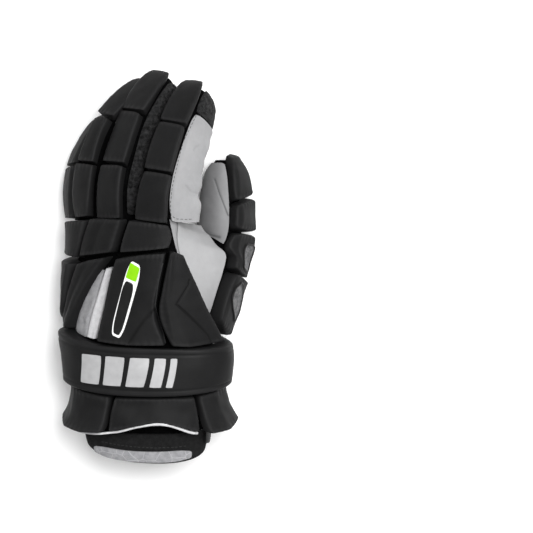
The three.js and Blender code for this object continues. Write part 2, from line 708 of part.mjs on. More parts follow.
function wristBand() {
  const profile = table('at height', [
    [0, 0.35], [0.05, 0.82], [0.17, 1], [0.5, 1], [0.83, 1], [0.95, 0.82], [1, 0.35]]);
  const grid = (lift) => profile.map(({ at, height }) => roundAngles(bandPlaces)
    .map((angle) => handSkin(angle, bandAt(angle, at), padSeat + lift(angle) * height)));
  add('wrist_band', shellBetween(grid(bandLift), grid(() => 0), true), black);
  const base = (angle) => padSeat + bandLift(angle) + padSeat;
  const strap = patchTable([[238, 0.365, 288, 0.365], [238, 0.50, 288, 0.50]]);
  add('strap_end', sheet(handSkin, strap, { base, thickness: tabThickness, across: 5, along: 2 }), black);
}

// Flares bell outwards towards the mouth, over the padded inner cuff
const flares = table('name bell rows', [
  ['flare_left', 1, [[117.5, 0.180, 204, 0.165], [115.5, 0.25, 203, 0.25], [111.5, 0.324, 202, 0.343]]],
  ['flare_centre', 0.5, [[40.5, 0.177, 116, 0.186], [43, 0.25, 114, 0.25], [47.5, 0.326, 110, 0.321]]],
  ['flare_right', 1.6, [[-26, 0.185, 39, 0.172], [-25, 0.255, 41.5, 0.25], [-24, 0.343, 46, 0.329]]],
  ['flare_under', 0.3, [[208, 0.22, 331, 0.22], [208, 0.28, 331, 0.28], [208, 0.338, 331, 0.338]]],
]);
const flareShapes = {
  flare_left: { bow: [-0.026, 0] },
  flare_centre: { bow: [flareArch, 0] },
  flare_right: { bow: [-0.012, 0] },
  flare_under: { flatten: restHeight, across: 12, places: even },
};
const cuffMouth = { middle: 0.082, reach: 0.045, turn: 20 };
const cuffPlaces = 22;
const liningRows = [[141, 0.060, 42, 0.044], [139, 0.103, 43, 0.093]];
const tabRows = [[-2, 0.086, 20, 0.10], [-2, 0.128, 20, 0.146]];

const cuffFrom = (angle) => cuffMouth.middle - cuffMouth.reach * sine(angle + cuffMouth.turn);
const cuffTo = handFrom - clearance / handLength;

function cuffLift(angle, at) {
  const v = THREE.MathUtils.clamp((at - cuffFrom(angle)) / (cuffTo - cuffFrom(angle)), 0, 1);
  const fullness = 0.5 + 0.5 * Math.sin(Math.PI * (0.15 + 0.7 * v));
  return (cuffPadding - cuffThinning * cosine(angle) ** 2) * fullness - leatherWall;
}

function cuff() {
  for (const { name, bell, rows } of flares) {
    const belled = (u, v) => flareBell * bell * (1 - v) ** 1.3;
    const shape = { bell: belled, across: 7, along: 3, ...flareShapes[name] };
    add(name, pad(handSkin, patchTable(rows), flareThickness, shape), black);
  }
  const grid = (lift) => even(3).map((v) => roundAngles(cuffPlaces).map((angle) => {
    const at = THREE.MathUtils.lerp(cuffFrom(angle), cuffTo, v);
    return handSkin(angle, at, lift(angle, at));
  }));
  add('inner_cuff', shellBetween(grid(cuffLift), grid(() => -leatherWall), true), darkKnit);
  const onCuff = (angle, at) => cuffLift(angle, at) + 2 * clearance;
  add('cuff_lining', sheet(handSkin, patchTable(liningRows), {
    base: onCuff, thickness: liningThickness, across: 10, along: 3, bow: [-0.006, -0.006],
  }), liningGrey);
  add('pull_tab', sheet(handSkin, patchTable(tabRows), {
    base: onCuff, thickness: tabThickness, across: 2, along: 2,
  }), black);
}

// Piping below the arched edge of the middle flare: its places along the cuff
const pipingLine = table('angle at', [
  [142.5, 0.142], [126.5, 0.146], [107, 0.167], [95, 0.190], [85.5, 0.204], [78, 0.206],
  [69.5, 0.198], [60.5, 0.184], [45.5, 0.152], [41, 0.144]]);
const pipingLift = 8.5;

function piping() {
  const points = pipingLine.map(({ angle, at }) => handSkin(angle, at, pipingLift));
  const section = new THREE.Shape(even(6).slice(0, 6).map((share) => new THREE.Vector2(
    Math.cos(2 * Math.PI * share), Math.sin(2 * Math.PI * share)).multiplyScalar(pipingDiameter / 2)));
  const tube = new THREE.ExtrudeGeometry(section, {
    steps: 14, bevelEnabled: false, extrudePath: new THREE.CatmullRomCurve3(points),
  });
  tube.deleteAttribute('normal');
  tube.deleteAttribute('uv');
  add('flare_piping', mergeVertices(tube, 0.001), grey);
}

hand();
wristBand();
fingers();
padsOfFingers();
sideSkins();
thumb();
padsOfThumb();
palmWeb();
windowsOfThumb();
padsOfHand();
back();
cuff();
piping();

const glove = new THREE.Group();
glove.add(...parts);
const box = new THREE.Box3().setFromObject(glove, true);
glove.position.set(-(box.min.x + box.max.x) / 2, -(box.min.y + box.max.y) / 2, -box.min.z);

export default glove;
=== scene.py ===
import json
import math

import bmesh
import bpy
import numpy as np
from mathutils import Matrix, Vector
from mathutils.bvhtree import BVHTree

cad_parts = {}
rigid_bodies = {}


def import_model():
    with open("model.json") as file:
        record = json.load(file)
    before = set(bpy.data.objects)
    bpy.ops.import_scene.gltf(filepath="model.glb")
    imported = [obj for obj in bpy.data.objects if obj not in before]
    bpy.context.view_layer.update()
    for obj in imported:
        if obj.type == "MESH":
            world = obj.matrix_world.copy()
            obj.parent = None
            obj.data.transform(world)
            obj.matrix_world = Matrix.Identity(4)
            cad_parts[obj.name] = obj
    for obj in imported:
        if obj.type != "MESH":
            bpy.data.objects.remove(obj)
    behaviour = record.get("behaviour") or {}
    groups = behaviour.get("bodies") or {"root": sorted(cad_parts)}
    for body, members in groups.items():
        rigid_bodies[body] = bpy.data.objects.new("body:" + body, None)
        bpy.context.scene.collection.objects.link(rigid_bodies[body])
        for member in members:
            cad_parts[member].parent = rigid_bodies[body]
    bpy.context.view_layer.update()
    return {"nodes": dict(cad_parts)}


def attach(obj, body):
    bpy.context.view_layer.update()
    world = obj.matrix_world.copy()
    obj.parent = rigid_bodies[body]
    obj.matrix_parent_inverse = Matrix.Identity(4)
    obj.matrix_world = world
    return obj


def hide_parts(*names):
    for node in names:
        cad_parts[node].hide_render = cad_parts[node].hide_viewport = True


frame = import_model()
dice = np.random.default_rng(7)
print("stage 1: frame loaded with", len(frame["nodes"]), "nodes")

# The glove's own measures, in millimetres, as the frame has them
hand = {"length": 206, "width": 120, "depth": 63, "from": 0.16, "roundness": 2.3, "wall": 2.2}
stalls = {
    "index": {"length": 112, "width": 39, "depth": 38, "height": -0.10, "tilt": 32, "turn": 0},
    "middle": {"length": 126, "width": 29, "depth": 32, "height": 0.09, "tilt": 35, "turn": 0},
    "ring": {"length": 114, "width": 24, "depth": 29, "height": 0.06, "tilt": 43, "turn": 2},
    "pinky": {"length": 92, "width": 18.5, "depth": 23, "height": -0.06, "tilt": 50, "turn": 4},
    "thumb": {"length": 151, "width": 30, "depth": 34, "tilt": -52, "turn": 0},
}
gap = 0.3
seat = 0.9
limbRoundness = 2.7
pressedFlat = {"pads": 1.2, "stalls": 1.3}  # height of what lies on the floor
photo = {"column": 159, "row": 267, "pixel": 0.85}  # the pixel over the origin, and a pixel's size
phaseSpan = 6.3
sharpAngle = 50
knuckleShare = 0.2  # where a finger has turned from straight ahead to its own way
shift = np.array([1.858, -0.350, -1.2])
cuffStart = -166.0

handRows = np.array([  # share, x, z, width, depth, roll, lean
    [0, -0.092, 0.580, 0.820, 0.887, 4, 0.25],
    [0.13, -0.092, 0.600, 0.859, 0.933, 4, 0.25],
    [0.30, -0.084, 0.653, 0.920, 0.987, 5, 0.25],
    [0.43, -0.074, 0.690, 0.985, 1.000, 8, 0.24],
    [0.51, -0.088, 0.700, 0.997, 1.000, 10, 0.22],
    [0.71, -0.146, 0.747, 0.928, 0.867, 24, 0.12],
    [0.875, -0.192, 0.780, 0.860, 0.745, 33, 0.05],
    [1, -0.222, 0.780, 0.840, 0.660, 37, 0],
])
spineRows = {  # reach, side, drop, as shares of the stall's length
    "index": [[0, 0, 0], [0.25, 0.03, 0.01], [0.54, 0.11, -0.07], [0.82, 0.20, -0.20], [0.95, 0.26, -0.32]],
    "middle": [[0, 0, 0], [0.23, 0.01, 0.02], [0.48, 0.08, -0.03], [0.76, 0.18, -0.12], [0.95, 0.27, -0.24]],
    "ring": [[0, 0, 0], [0.22, -0.02, 0.01], [0.46, 0.02, 0], [0.70, 0.13, -0.04], [0.90, 0.30, -0.10],
             [0.975, 0.375, -0.13]],
    "pinky": [[0, 0, 0], [0.26, -0.02, 0], [0.50, 0.02, -0.04], [0.74, 0.14, -0.08], [0.90, 0.28, -0.11]],
    "thumb": [[0, 0, 0], [0.15, 0.05, -0.025], [0.33, 0.10, -0.065], [0.50, 0.145, -0.10],
              [0.71, 0.155, -0.125], [0.92, 0.16, -0.13], [0.98, 0.16, -0.13]],
}
taperRows = {
    "finger": np.array([[0, 0.96], [0.12, 1], [0.45, 1], [0.72, 0.96], [0.88, 0.84], [0.96, 0.6], [1, 0.25]]),
    "thumb": np.array([[0, 0.92], [0.3, 1], [0.55, 1.02], [0.72, 0.98], [0.84, 0.86], [0.93, 0.68], [1, 0.32]]),
}


def curveValue(rows, at):
    xs, ys = rows[:, 0], rows[:, 1:]
    last = len(xs) - 1
    before = np.maximum(np.arange(last + 1) - 1, 0)
    after = np.minimum(np.arange(last + 1) + 1, last)
    slopes = (ys[after] - ys[before]) / (xs[after] - xs[before])[:, None]
    i = np.clip(np.searchsorted(xs, at, side="left") - 1, 0, last - 1)
    span = (xs[i + 1] - xs[i])[..., None]
    x = ((at - xs[i]) / (xs[i + 1] - xs[i]))[..., None]
    rise = ys[i + 1] - ys[i]
    start, end = slopes[i] * span, slopes[i + 1] * span
    return ys[i] + start * x + (3 * rise - 2 * start - end) * x ** 2 + (start + end - 2 * rise) * x ** 3


def signedPower(value, exponent):
    return np.sign(value) * np.abs(value) ** exponent


def sectionPoint(width, depth, roundness, angle, lift):
    c, s = np.cos(np.radians(angle)), np.sin(np.radians(angle))
    nx = signedPower(c, 2 - 2 / roundness) / width
    ny = signedPower(s, 2 - 2 / roundness) / depth
    size = np.hypot(nx, ny)
    return (width / 2 * signedPower(c, 2 / roundness) + lift * nx / size,
            depth / 2 * signedPower(s, 2 / roundness) + lift * ny / size)


def grids(*values):
    return np.broadcast_arrays(*(np.asarray(v, float) for v in values))


def turned(x, z, degrees):
    c, s = np.cos(np.radians(degrees)), np.sin(np.radians(degrees))
    return x * c - z * s, x * s + z * c


def unit(vectors):
    return vectors / np.linalg.norm(vectors, axis=-1, keepdims=True)


def runAlong(line):
    return np.concatenate([[0], np.cumsum(np.linalg.norm(np.diff(line, axis=0), axis=1))])


def handSkin(angle, at, lift):
    angle, at, lift = grids(angle, at, lift)
    x, z, width, depth, roll, lean = np.moveaxis(curveValue(handRows, at), -1, 0)
    px, pz = sectionPoint(width * hand["width"], depth * hand["depth"], hand["roundness"], angle, lift)
    qx, qz = turned(px, pz, roll)
    return np.stack([x * hand["width"] + qx, cuffStart + hand["length"] * at - lean * qz,
                     z * hand["depth"] + qz], -1)


def spineSamples(points):
    # a smooth curve through the points that bends evenly where they lie unevenly
    p = [2 * points[0] - points[1], *points, 2 * points[-1] - points[-2]]
    t = np.linspace(0, 1, 240)[:, None]
    pieces = []
    for a, b, c, d in zip(p, p[1:], p[2:], p[3:]):
        k0, k1, k2 = (np.linalg.norm(y - x) ** 0.5 for x, y in ((a, b), (b, c), (c, d)))
        t1 = ((b - a) / k0 - (c - a) / (k0 + k1) + (c - b) / k1) * k1
        t2 = ((c - b) / k1 - (d - b) / (k1 + k2) + (d - c) / k2) * k1
        cubic = (2 * b - 2 * c + t1 + t2) * t ** 3
        pieces.append(b + t1 * t + (-3 * b + 3 * c - 2 * t1 - t2) * t ** 2 + cubic)
    line = np.concatenate([pieces[0]] + [x[1:] for x in pieces[1:]])
    return line, runAlong(line)


def limbSkin(name, root):
    spec = stalls[name]
    reach, side, drop = np.array(spineRows[name]).T
    steps = np.stack([side, reach, drop], -1) * spec["length"]
    line, run = spineSamples(list(root + steps))
    taper = taperRows["thumb" if name == "thumb" else "finger"]
    direction = unit(np.gradient(line, axis=0))

    def skin(angle, at, lift):
        angle, at, lift = grids(angle, at, lift)
        inside = np.clip(at, 0, 1)
        along = inside * run[-1]
        centre = np.stack([np.interp(along, run, line[:, k]) for k in range(3)], -1)
        tangent = np.stack([np.interp(along, run, direction[:, k]) for k in range(3)], -1)
        if name != "thumb":
            x = np.clip(at / knuckleShare, 0, 1)
            settled = (x * x * (3 - 2 * x))[..., None]
            tangent = tangent * settled + np.array([0, 1, 0]) * (1 - settled)
        tangent = unit(tangent)
        turn = np.radians(spec["tilt"] + spec["turn"] * inside)
        back = np.stack([-np.sin(turn), 0 * turn, np.cos(turn)], -1)
        back = unit(back - tangent * (back * tangent).sum(-1, keepdims=True))
        across = np.cross(tangent, back)
        size = curveValue(taper, inside)[..., 0]
        x, y = sectionPoint(spec["width"] * size, spec["depth"] * size, limbRoundness, angle, lift)
        ahead = (at - inside) * run[-1]
        return centre + tangent * ahead[..., None] + across * x[..., None] + back * y[..., None]

    return skin


def knuckleRoots():
    x, z, width, depth, roll, _ = curveValue(handRows, np.array(1.0))
    order = ["pinky", "ring", "middle", "index"]
    total = sum(stalls[n]["width"] + gap for n in order)
    across, roots = -total / 2, {}
    for n in order:
        px, pz = turned(across + stalls[n]["width"] / 2, stalls[n]["height"] * depth * hand["depth"], roll)
        across += stalls[n]["width"] + gap
        roots[n] = np.array([x * hand["width"] + px, cuffStart + hand["length"] + gap, z * hand["depth"] + pz])
    return roots


skins = {name: limbSkin(name, root) for name, root in knuckleRoots().items()}
skins["thumb"] = limbSkin("thumb", np.array([0.24 * hand["width"], -56.0, 0.60 * hand["depth"]]))
skins["hand"] = handSkin


def layout(points):
    # photo pixels to millimetres in the glove's frame
    p = np.asarray(points, float)
    return np.stack([p[..., 0] - photo["column"], photo["row"] - p[..., 1]], -1) * photo["pixel"]


def ripple(points, scale, seedShift=0):
    # smooth random lumps of about this size
    source = np.random.default_rng(40 + seedShift)
    value = np.zeros(points.shape[:-1])
    for octave in range(3):
        for _ in range(5):
            direction = source.normal(size=3)
            direction /= np.linalg.norm(direction)
            turns = points @ direction * (2 * math.pi / scale) * (1.6 ** octave)
            value += np.sin(turns + source.uniform(0, phaseSpan)) / 1.7 ** octave
    return value / 5


def lineDistance(points, line):
    p = points[..., :2]
    best = np.full(p.shape[:-1], 1e9)
    for a, b in zip(line, line[1:]):
        ab = b - a
        t = np.clip(((p - a) @ ab) / (ab @ ab), 0, 1)
        best = np.minimum(best, np.linalg.norm(p - a - t[..., None] * ab, axis=-1))
    return best


def blurred(grid, amount, axis):
    if amount < 0.3:
        return grid
    reach = max(1, int(3 * amount))
    weights = np.exp(-0.5 * (np.arange(-reach, reach + 1) / amount) ** 2)
    weights /= weights.sum()
    moved = np.moveaxis(grid, axis, 0)
    first, last = moved[:1], moved[-1:]
    ahead = [2 * first - moved[k:k + 1] for k in range(min(reach, len(moved) - 1), 0, -1)]
    behind = [2 * last - moved[-1 - k:len(moved) - k] for k in range(1, min(reach, len(moved) - 1) + 1)]
    padded = np.concatenate(ahead + [moved] + behind)
    out = sum(w * padded[k:k + len(moved)] for k, w in enumerate(weights))
    return np.moveaxis(out, 0, axis)


def normalsOf(grid):
    du, dv = np.gradient(grid, axis=1), np.gradient(grid, axis=0)
    n = np.cross(du, dv)
    return n / np.maximum(np.linalg.norm(n, axis=-1, keepdims=True), 1e-9)


def meshPiece(name, verts, faces, uvs=None, marks=None):
    mesh = bpy.data.meshes.new(name)
    mesh.from_pydata(((verts + shift) / 1000).tolist(), [], faces.tolist())
    if uvs is not None:
        layer = mesh.uv_layers.new(name="real")
        corner = np.empty(len(mesh.loops), np.int32)
        mesh.loops.foreach_get("vertex_index", corner)
        layer.data.foreach_set("uv", uvs[corner].astype(np.float32).ravel())
    for key, values in (marks or {}).items():
        attribute = mesh.attributes.new(key, "FLOAT", "POINT")
        attribute.data.foreach_set("value", np.asarray(values, np.float32).ravel())
    tidy = bmesh.new()
    tidy.from_mesh(mesh)
    bmesh.ops.remove_doubles(tidy, verts=tidy.verts, dist=2e-6)
    bmesh.ops.dissolve_degenerate(tidy, edges=tidy.edges, dist=1e-6)
    bmesh.ops.recalc_face_normals(tidy, faces=tidy.faces)
    if tidy.calc_volume(signed=True) < 0:
        bmesh.ops.reverse_faces(tidy, faces=tidy.faces)
    tidy.to_mesh(mesh)
    tidy.free()
    mesh.polygons.foreach_set("use_smooth", [True] * len(mesh.polygons))
    mesh.set_sharp_from_angle(angle=math.radians(sharpAngle))
    obj = bpy.data.objects.new(name, mesh)
    bpy.context.scene.collection.objects.link(obj)
    return obj


def shell(name, outer, inner, ring=False, keep=None, marks=None):
    # a closed wall between two grids of points, open where keep is false
    if ring:
        outer, inner = (np.concatenate([g, g[:, :1]], axis=1) for g in (outer, inner))
        marks = {k: np.concatenate([m, m[:, :1]], axis=1) for k, m in (marks or {}).items()}
    rows, columns = outer.shape[:2]
    count = rows * columns
    kept = np.ones((rows - 1, columns - 1), bool) if keep is None else keep
    i, j = np.nonzero(kept)

    def at(side, a, b):
        return side * count + a * columns + b

    faces = [
        np.stack([at(0, i, j), at(0, i + 1, j), at(0, i + 1, j + 1), at(0, i, j + 1)], -1),
        np.stack([at(1, i, j), at(1, i, j + 1), at(1, i + 1, j + 1), at(1, i + 1, j)], -1),
    ]
    around = np.pad(kept, 1)
    if ring:
        around[1:-1, 0], around[1:-1, -1] = kept[:, -1], kept[:, 0]
    sides = ((-1, 0, (0, 0), (0, 1)), (1, 0, (1, 1), (1, 0)), (0, -1, (1, 0), (0, 0)), (0, 1, (0, 1), (1, 1)))
    for di, dj, a, b in sides:
        edge = kept & ~around[1 + di:rows + di, 1 + dj:columns + dj]
        p, q = np.nonzero(edge)
        faces.append(np.stack([
            at(0, p + a[0], q + a[1]), at(0, p + b[0], q + b[1]),
            at(1, p + b[0], q + b[1]), at(1, p + a[0], q + a[1]),
        ], -1))
    wide, long = (np.linalg.norm(np.diff(outer, axis=k), axis=-1) for k in (1, 0))
    across = np.concatenate([np.zeros((rows, 1)), np.cumsum(wide, axis=1)], axis=1)
    along = np.concatenate([np.zeros((1, columns)), np.cumsum(long, axis=0)])
    uv = np.stack([across, along], -1).reshape(-1, 2) / 10
    verts = np.concatenate([outer.reshape(-1, 3), inner.reshape(-1, 3)])
    full = {k: np.concatenate([np.asarray(m, float).ravel()] * 2) for k, m in (marks or {}).items()}
    return meshPiece(name, verts, np.concatenate(faces), np.concatenate([uv, uv]), full)


def spaced(rows):
    # rows evenly spaced from 0 to 1
    rows = np.array(rows, float)
    return np.concatenate([np.linspace(0, 1, len(rows))[:, None], rows], axis=1)


def patchGrid(rows, u, v):
    angle0, at0, angle1, at1 = np.moveaxis(curveValue(spaced(rows), v), -1, 0)
    return angle0 + (angle1 - angle0) * u, at0 + (at1 - at0) * u


def roundedCorner(u, v, amount):
    x, y = 2 * u - 1, 2 * v - 1
    return (x * (1 - amount * np.abs(y) ** 6) + 1) / 2, (y * (1 - amount * np.abs(x) ** 6) + 1) / 2


def unitGrid(width, length, spacing):
    columns, rows = max(6, int(width / spacing)), max(6, int(length / spacing))
    return np.meshgrid(np.linspace(0, 1, columns + 1), np.linspace(0, 1, rows + 1))


def quarter(distance, radius):
    x = 1 - np.clip(distance / radius, 0, 1)
    return (1 - x ** 2.4) ** (1 / 2.4)


def patchSize(place, rows, lift, samples=9):
    steps = np.linspace(0, 1, samples)
    grid = place(*patchGrid(rows, *np.meshgrid(steps, steps)), lift)
    width = np.linalg.norm(np.diff(grid, axis=1), axis=-1).sum(axis=1).mean()
    length = np.linalg.norm(np.diff(grid, axis=0), axis=-1).sum(axis=0).mean()
    return width, length


def bowed(at, u, v, look):
    # bends the two ends of a patch along its length
    first, last = look["bow"]
    return at + (first * (1 - v) + last * v) * np.sin(math.pi * u) ** look.get("arch", 1)


def cutGrooves(points, grooves):
    # grooves are cut in and darkened: painted shade in creases and slits, and along sewn lines also the seam's own
    # dark
    depth, dark = np.zeros(points.shape[:-1]), np.zeros(points.shape[:-1])
    for groove in grooves:
        cut = np.exp(-(lineDistance(points, layout(groove["line"])) / groove["width"]) ** 2)
        depth += groove["depth"] * cut
        dark = np.maximum(dark, groove.get("dark", 1) * cut)
    return depth, dark


# Foam pads: a patch of a skin, swollen, in flat strips, with small folds beside its seams
padSpec = {
    "thick": 8.5, "base": seat, "spacing": 0.8,
    "edge": 2.4, "ends": 0.4, "tip": 0, "corner": 0.035,  # rounding of sides, ends, tip and corners
    "facets": [0, 0.22, 0.8, 1], "crown": 0.5, "soft": 0.9,
    "bow": (0, 0), "arch": 1,
    "bell": 0, "flareOut": 1.3, "low": (1, 1),  # how far the first end flares out, and less at its corners
    "pucker": 0.16, "wave": 5.0, "lumps": 0.25, "grooves": [],
}
padFolds = {"in": 1.5, "ends": 3.5, "sides": 3.0, "sideShare": 0.6, "sideWave": 1.3, "wander": 1.3,
            "endTurns": 9, "sideTurns": 7, "lumpSize": 24, "lumpRim": 4, "wornHighlightAt": 2.2, "wornHighlightWidth": 1.6}


def facetedTop(bottom, top, spec):
    out, faceted = unit(top - bottom), top.copy()
    breaks = [int(round(x * (top.shape[1] - 1))) for x in spec["facets"]]
    for a, b in zip(breaks, breaks[1:]):
        t = np.linspace(0, 1, b - a + 1)[None, :, None]
        chord = top[:, a:a + 1] * (1 - t) + top[:, b:b + 1] * t
        faceted[:, a:b + 1] = chord + out[:, a:b + 1] * (np.sin(math.pi * t) * spec["crown"])
    blur = spec["soft"] / spec["spacing"]
    return blurred(blurred(faceted, blur, 1), 0.8 * blur, 0)


def foldWave(at, waves, phase, turns, second):
    return np.sin(at * waves * phaseSpan + phase + padFolds["wander"] * np.sin(at * turns + second))


def foamPad(node, skin, rows, look, material):
    spec = dict(padSpec, **look)
    place, name = skins[skin], pieceName(node)
    width, length = patchSize(place, rows, spec["base"] + spec["thick"])
    u, v = unitGrid(width, length, spec["spacing"])
    ru, rv = roundedCorner(u, v, spec["corner"])
    angle, at = patchGrid(rows, ru, rv)
    at = bowed(at, u, v, spec)
    first, last = spec["low"]
    bell = spec["bell"] * (1 - rv) ** spec["flareOut"]
    bell = bell * (1 - (1 - first) * (1 - u) ** 4 - (1 - last) * u ** 4)
    bottom = place(angle, at, spec["base"] + bell)
    top = facetedTop(bottom, place(angle, at, spec["base"] + bell + spec["thick"]), spec)
    du, dv = np.minimum(u, 1 - u) * width, np.minimum(v, 1 - v) * length
    rim = np.minimum(du, dv)
    body = quarter(du, spec["edge"]) * quarter(dv, spec["edge"] * spec["ends"])
    if spec["tip"]:
        body = body * quarter((1 - v) * length, spec["tip"])
    points = bottom + (top - bottom) * body[..., None]
    small, phase = padFolds, dice.uniform(0, phaseSpan, 4)
    nearEnds = np.exp(-((dv - small["in"]) / small["ends"]) ** 2)
    nearSides = np.exp(-((du - small["in"]) / small["sides"]) ** 2) * small["sideShare"]
    waves, sideWaves = width / spec["wave"], length / (small["sideWave"] * spec["wave"])
    folds = nearEnds * foldWave(u, waves, phase[0], small["endTurns"], phase[1])
    folds += nearSides * foldWave(v, sideWaves, phase[2], small["sideTurns"], phase[3])
    lumps = ripple(points, small["lumpSize"], len(name)) * np.clip(rim / small["lumpRim"], 0, 1)
    depth, seam = cutGrooves(points, spec["grooves"])
    height = spec["pucker"] * folds + spec["lumps"] * lumps - depth
    points = points + unit(top - bottom) * (height * np.clip(body, 0, 1))[..., None]
    for layer in (points, bottom):
        layer[..., 2] = np.maximum(layer[..., 2], pressedFlat["pads"])
    # the edge mark, where the leather gets its worn look and a painted highlight
    edge = np.exp(-((rim - small["wornHighlightAt"]) / small["wornHighlightWidth"]) ** 2)
    obj = finishPiece(shell(name, points, bottom, marks={"edge": edge, "seam": seam}), material, node)
    return obj


def pieceName(node):
    words = node.split("_")
    return words[0] + "".join(w.capitalize() for w in words[1:])


def finishPiece(obj, material, node=None):
    # node is the solid that the piece stands for, if any
    if node:
        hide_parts(node)
    obj.data.materials.clear()
    obj.data.materials.append(material)
    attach(obj, "root")
    return obj


# Materials: shared effects first, as groups of nodes
def newGroup(name, inputs, outputs):
    group = bpy.data.node_groups.new(name, "ShaderNodeTree")
    for label, kind, value in inputs:
        socket = group.interface.new_socket(name=label, in_out="INPUT", socket_type="NodeSocket" + kind)
        socket.default_value = value
    for label, kind in outputs:
        group.interface.new_socket(name=label, in_out="OUTPUT", socket_type="NodeSocket" + kind)
    return group, group.nodes.new("NodeGroupInput"), group.nodes.new("NodeGroupOutput")


def setInputs(item, values):
    for key, value in values.items():
        item.inputs[key].default_value = value
    return item


def addNode(tree, kind, settings=None, **values):
    item = tree.nodes.new(kind)
    for key, value in (settings or {}).items():
        setattr(item, key, value)
    return setInputs(item, values)


def mapRange(tree, value, **values):
    item = addNode(tree, "ShaderNodeMapRange", **{key.replace("_", " "): x for key, x in values.items()})
    tree.links.new(value, item.inputs["Value"])
    return item.outputs[0]


def objectTexture(tree, kind, settings=None, **values):
    item = addNode(tree, kind, settings, **values)
    tree.links.new(addNode(tree, "ShaderNodeTexCoord").outputs["Object"], item.inputs["Vector"])
    return item


def mathNode(tree, operation, a, b=None, clamp=False):
    item = tree.nodes.new("ShaderNodeMath")
    item.operation, item.use_clamp = operation, clamp
    for k, value in enumerate((a, b)):
        if isinstance(value, (int, float)):
            item.inputs[k].default_value = value
        elif value is not None:
            tree.links.new(value, item.inputs[k])
    return item.outputs[0]


def times(tree, a, b):
    return mathNode(tree, "MULTIPLY", a, b)


def mixColour(tree, factor, a, b):
    item = tree.nodes.new("ShaderNodeMix")
    item.data_type = "RGBA"
    for socket, value in ((item.inputs["Factor"], factor), (item.inputs[6], a), (item.inputs[7], b)):
        if isinstance(value, (int, float)):
            socket.default_value = value
        elif isinstance(value, (tuple, list)):
            socket.default_value = (*value, 1)
        else:
            tree.links.new(value, socket)
    return item.outputs[2]


def grainGroup():
    # leather: small cells, wrinkles and broad soft patches
    tree, start, end = newGroup(
        "leatherGrain",
        [("Cell size", "Float", 700.0), ("Wrinkle size", "Float", 90.0), ("Dark", "Color", (0.02, 0.02, 0.02, 1)),
         ("Light", "Color", (0.05, 0.05, 0.05, 1))],
        [("Color", "Color"), ("Height", "Float"), ("Mask", "Float")])
    link = tree.links.new
    cells = objectTexture(tree, "ShaderNodeTexVoronoi", {"feature": "F1"}, Randomness=0.9)
    wrinkles = objectTexture(tree, "ShaderNodeTexNoise", Detail=5.0, Roughness=0.6)
    broad = objectTexture(tree, "ShaderNodeTexNoise", Detail=2.0, Roughness=0.5, Scale=22.0)
    link(start.outputs["Cell size"], cells.inputs["Scale"])
    link(start.outputs["Wrinkle size"], wrinkles.inputs["Scale"])
    height = mathNode(tree, "ADD", times(tree, cells.outputs["Distance"], 0.5), wrinkles.outputs["Fac"])
    both = mathNode(tree, "ADD", times(tree, broad.outputs["Fac"], 0.6), times(tree, wrinkles.outputs["Fac"], 0.4))
    mask = mapRange(tree, both, From_Min=0.32, From_Max=0.68)
    link(mixColour(tree, mask, start.outputs["Dark"], start.outputs["Light"]), end.inputs["Color"])
    link(height, end.inputs["Height"])
    link(mask, end.inputs["Mask"])
    return tree


def weaveGroup():
    # cloth: crossed threads with holes between them, and a fuzzy mottle
    tree, start, end = newGroup(
        "clothWeave",
        [("Threads", "Float", 8.0), ("Sharpness", "Float", 1.0)],
        [("Height", "Float"), ("Holes", "Float"), ("Mottle", "Float")])
    link = tree.links.new
    cloth = addNode(tree, "ShaderNodeUVMap", {"uv_map": "real"})
    parts = addNode(tree, "ShaderNodeSeparateXYZ")
    link(cloth.outputs[0], parts.inputs[0])
    waves = []
    for axis in ("X", "Y"):
        turns = times(tree, parts.outputs[axis], start.outputs["Threads"])
        waves.append(mathNode(tree, "SINE", times(tree, turns, 6.2832)))
    lifted = mathNode(tree, "MULTIPLY_ADD", times(tree, waves[0], waves[1]), 0.5)
    lifted.node.inputs[2].default_value = 0.5
    link(lifted, end.inputs["Height"])
    tallest = mathNode(tree, "MAXIMUM", *(mathNode(tree, "ABSOLUTE", wave) for wave in waves))
    solid = mathNode(tree, "POWER", tallest, start.outputs["Sharpness"])
    link(mathNode(tree, "SUBTRACT", 1.0, solid, clamp=True), end.inputs["Holes"])
    noise = objectTexture(tree, "ShaderNodeTexNoise", Scale=260.0, Detail=4.0, Roughness=0.7)
    link(mapRange(tree, noise.outputs["Fac"], From_Min=0.36, From_Max=0.64), end.inputs["Mottle"])
    return tree


grain, weave = grainGroup(), weaveGroup()


def baseMaterial(name, roughness, specular=0.5, sheen=0.0):
    material = bpy.data.materials.new(name)
    material.use_nodes = True
    tree = material.node_tree
    shader = setInputs(tree.nodes["Principled BSDF"], {
        "Roughness": roughness, "Specular IOR Level": specular, "Sheen Weight": sheen, "Sheen Roughness": 0.5})
    return material, tree, shader


def addBump(tree, shader, height, strength, distance):
    bump = addNode(tree, "ShaderNodeBump", Strength=strength, Distance=distance)
    tree.links.new(height, bump.inputs["Height"])
    tree.links.new(bump.outputs["Normal"], shader.inputs["Normal"])


def markedColour(tree, mark, amount, ground, colour):
    # another colour where the mesh has this mark
    item = addNode(tree, "ShaderNodeAttribute", {"attribute_name": mark})
    return mixColour(tree, times(tree, item.outputs["Fac"], amount), ground, colour)


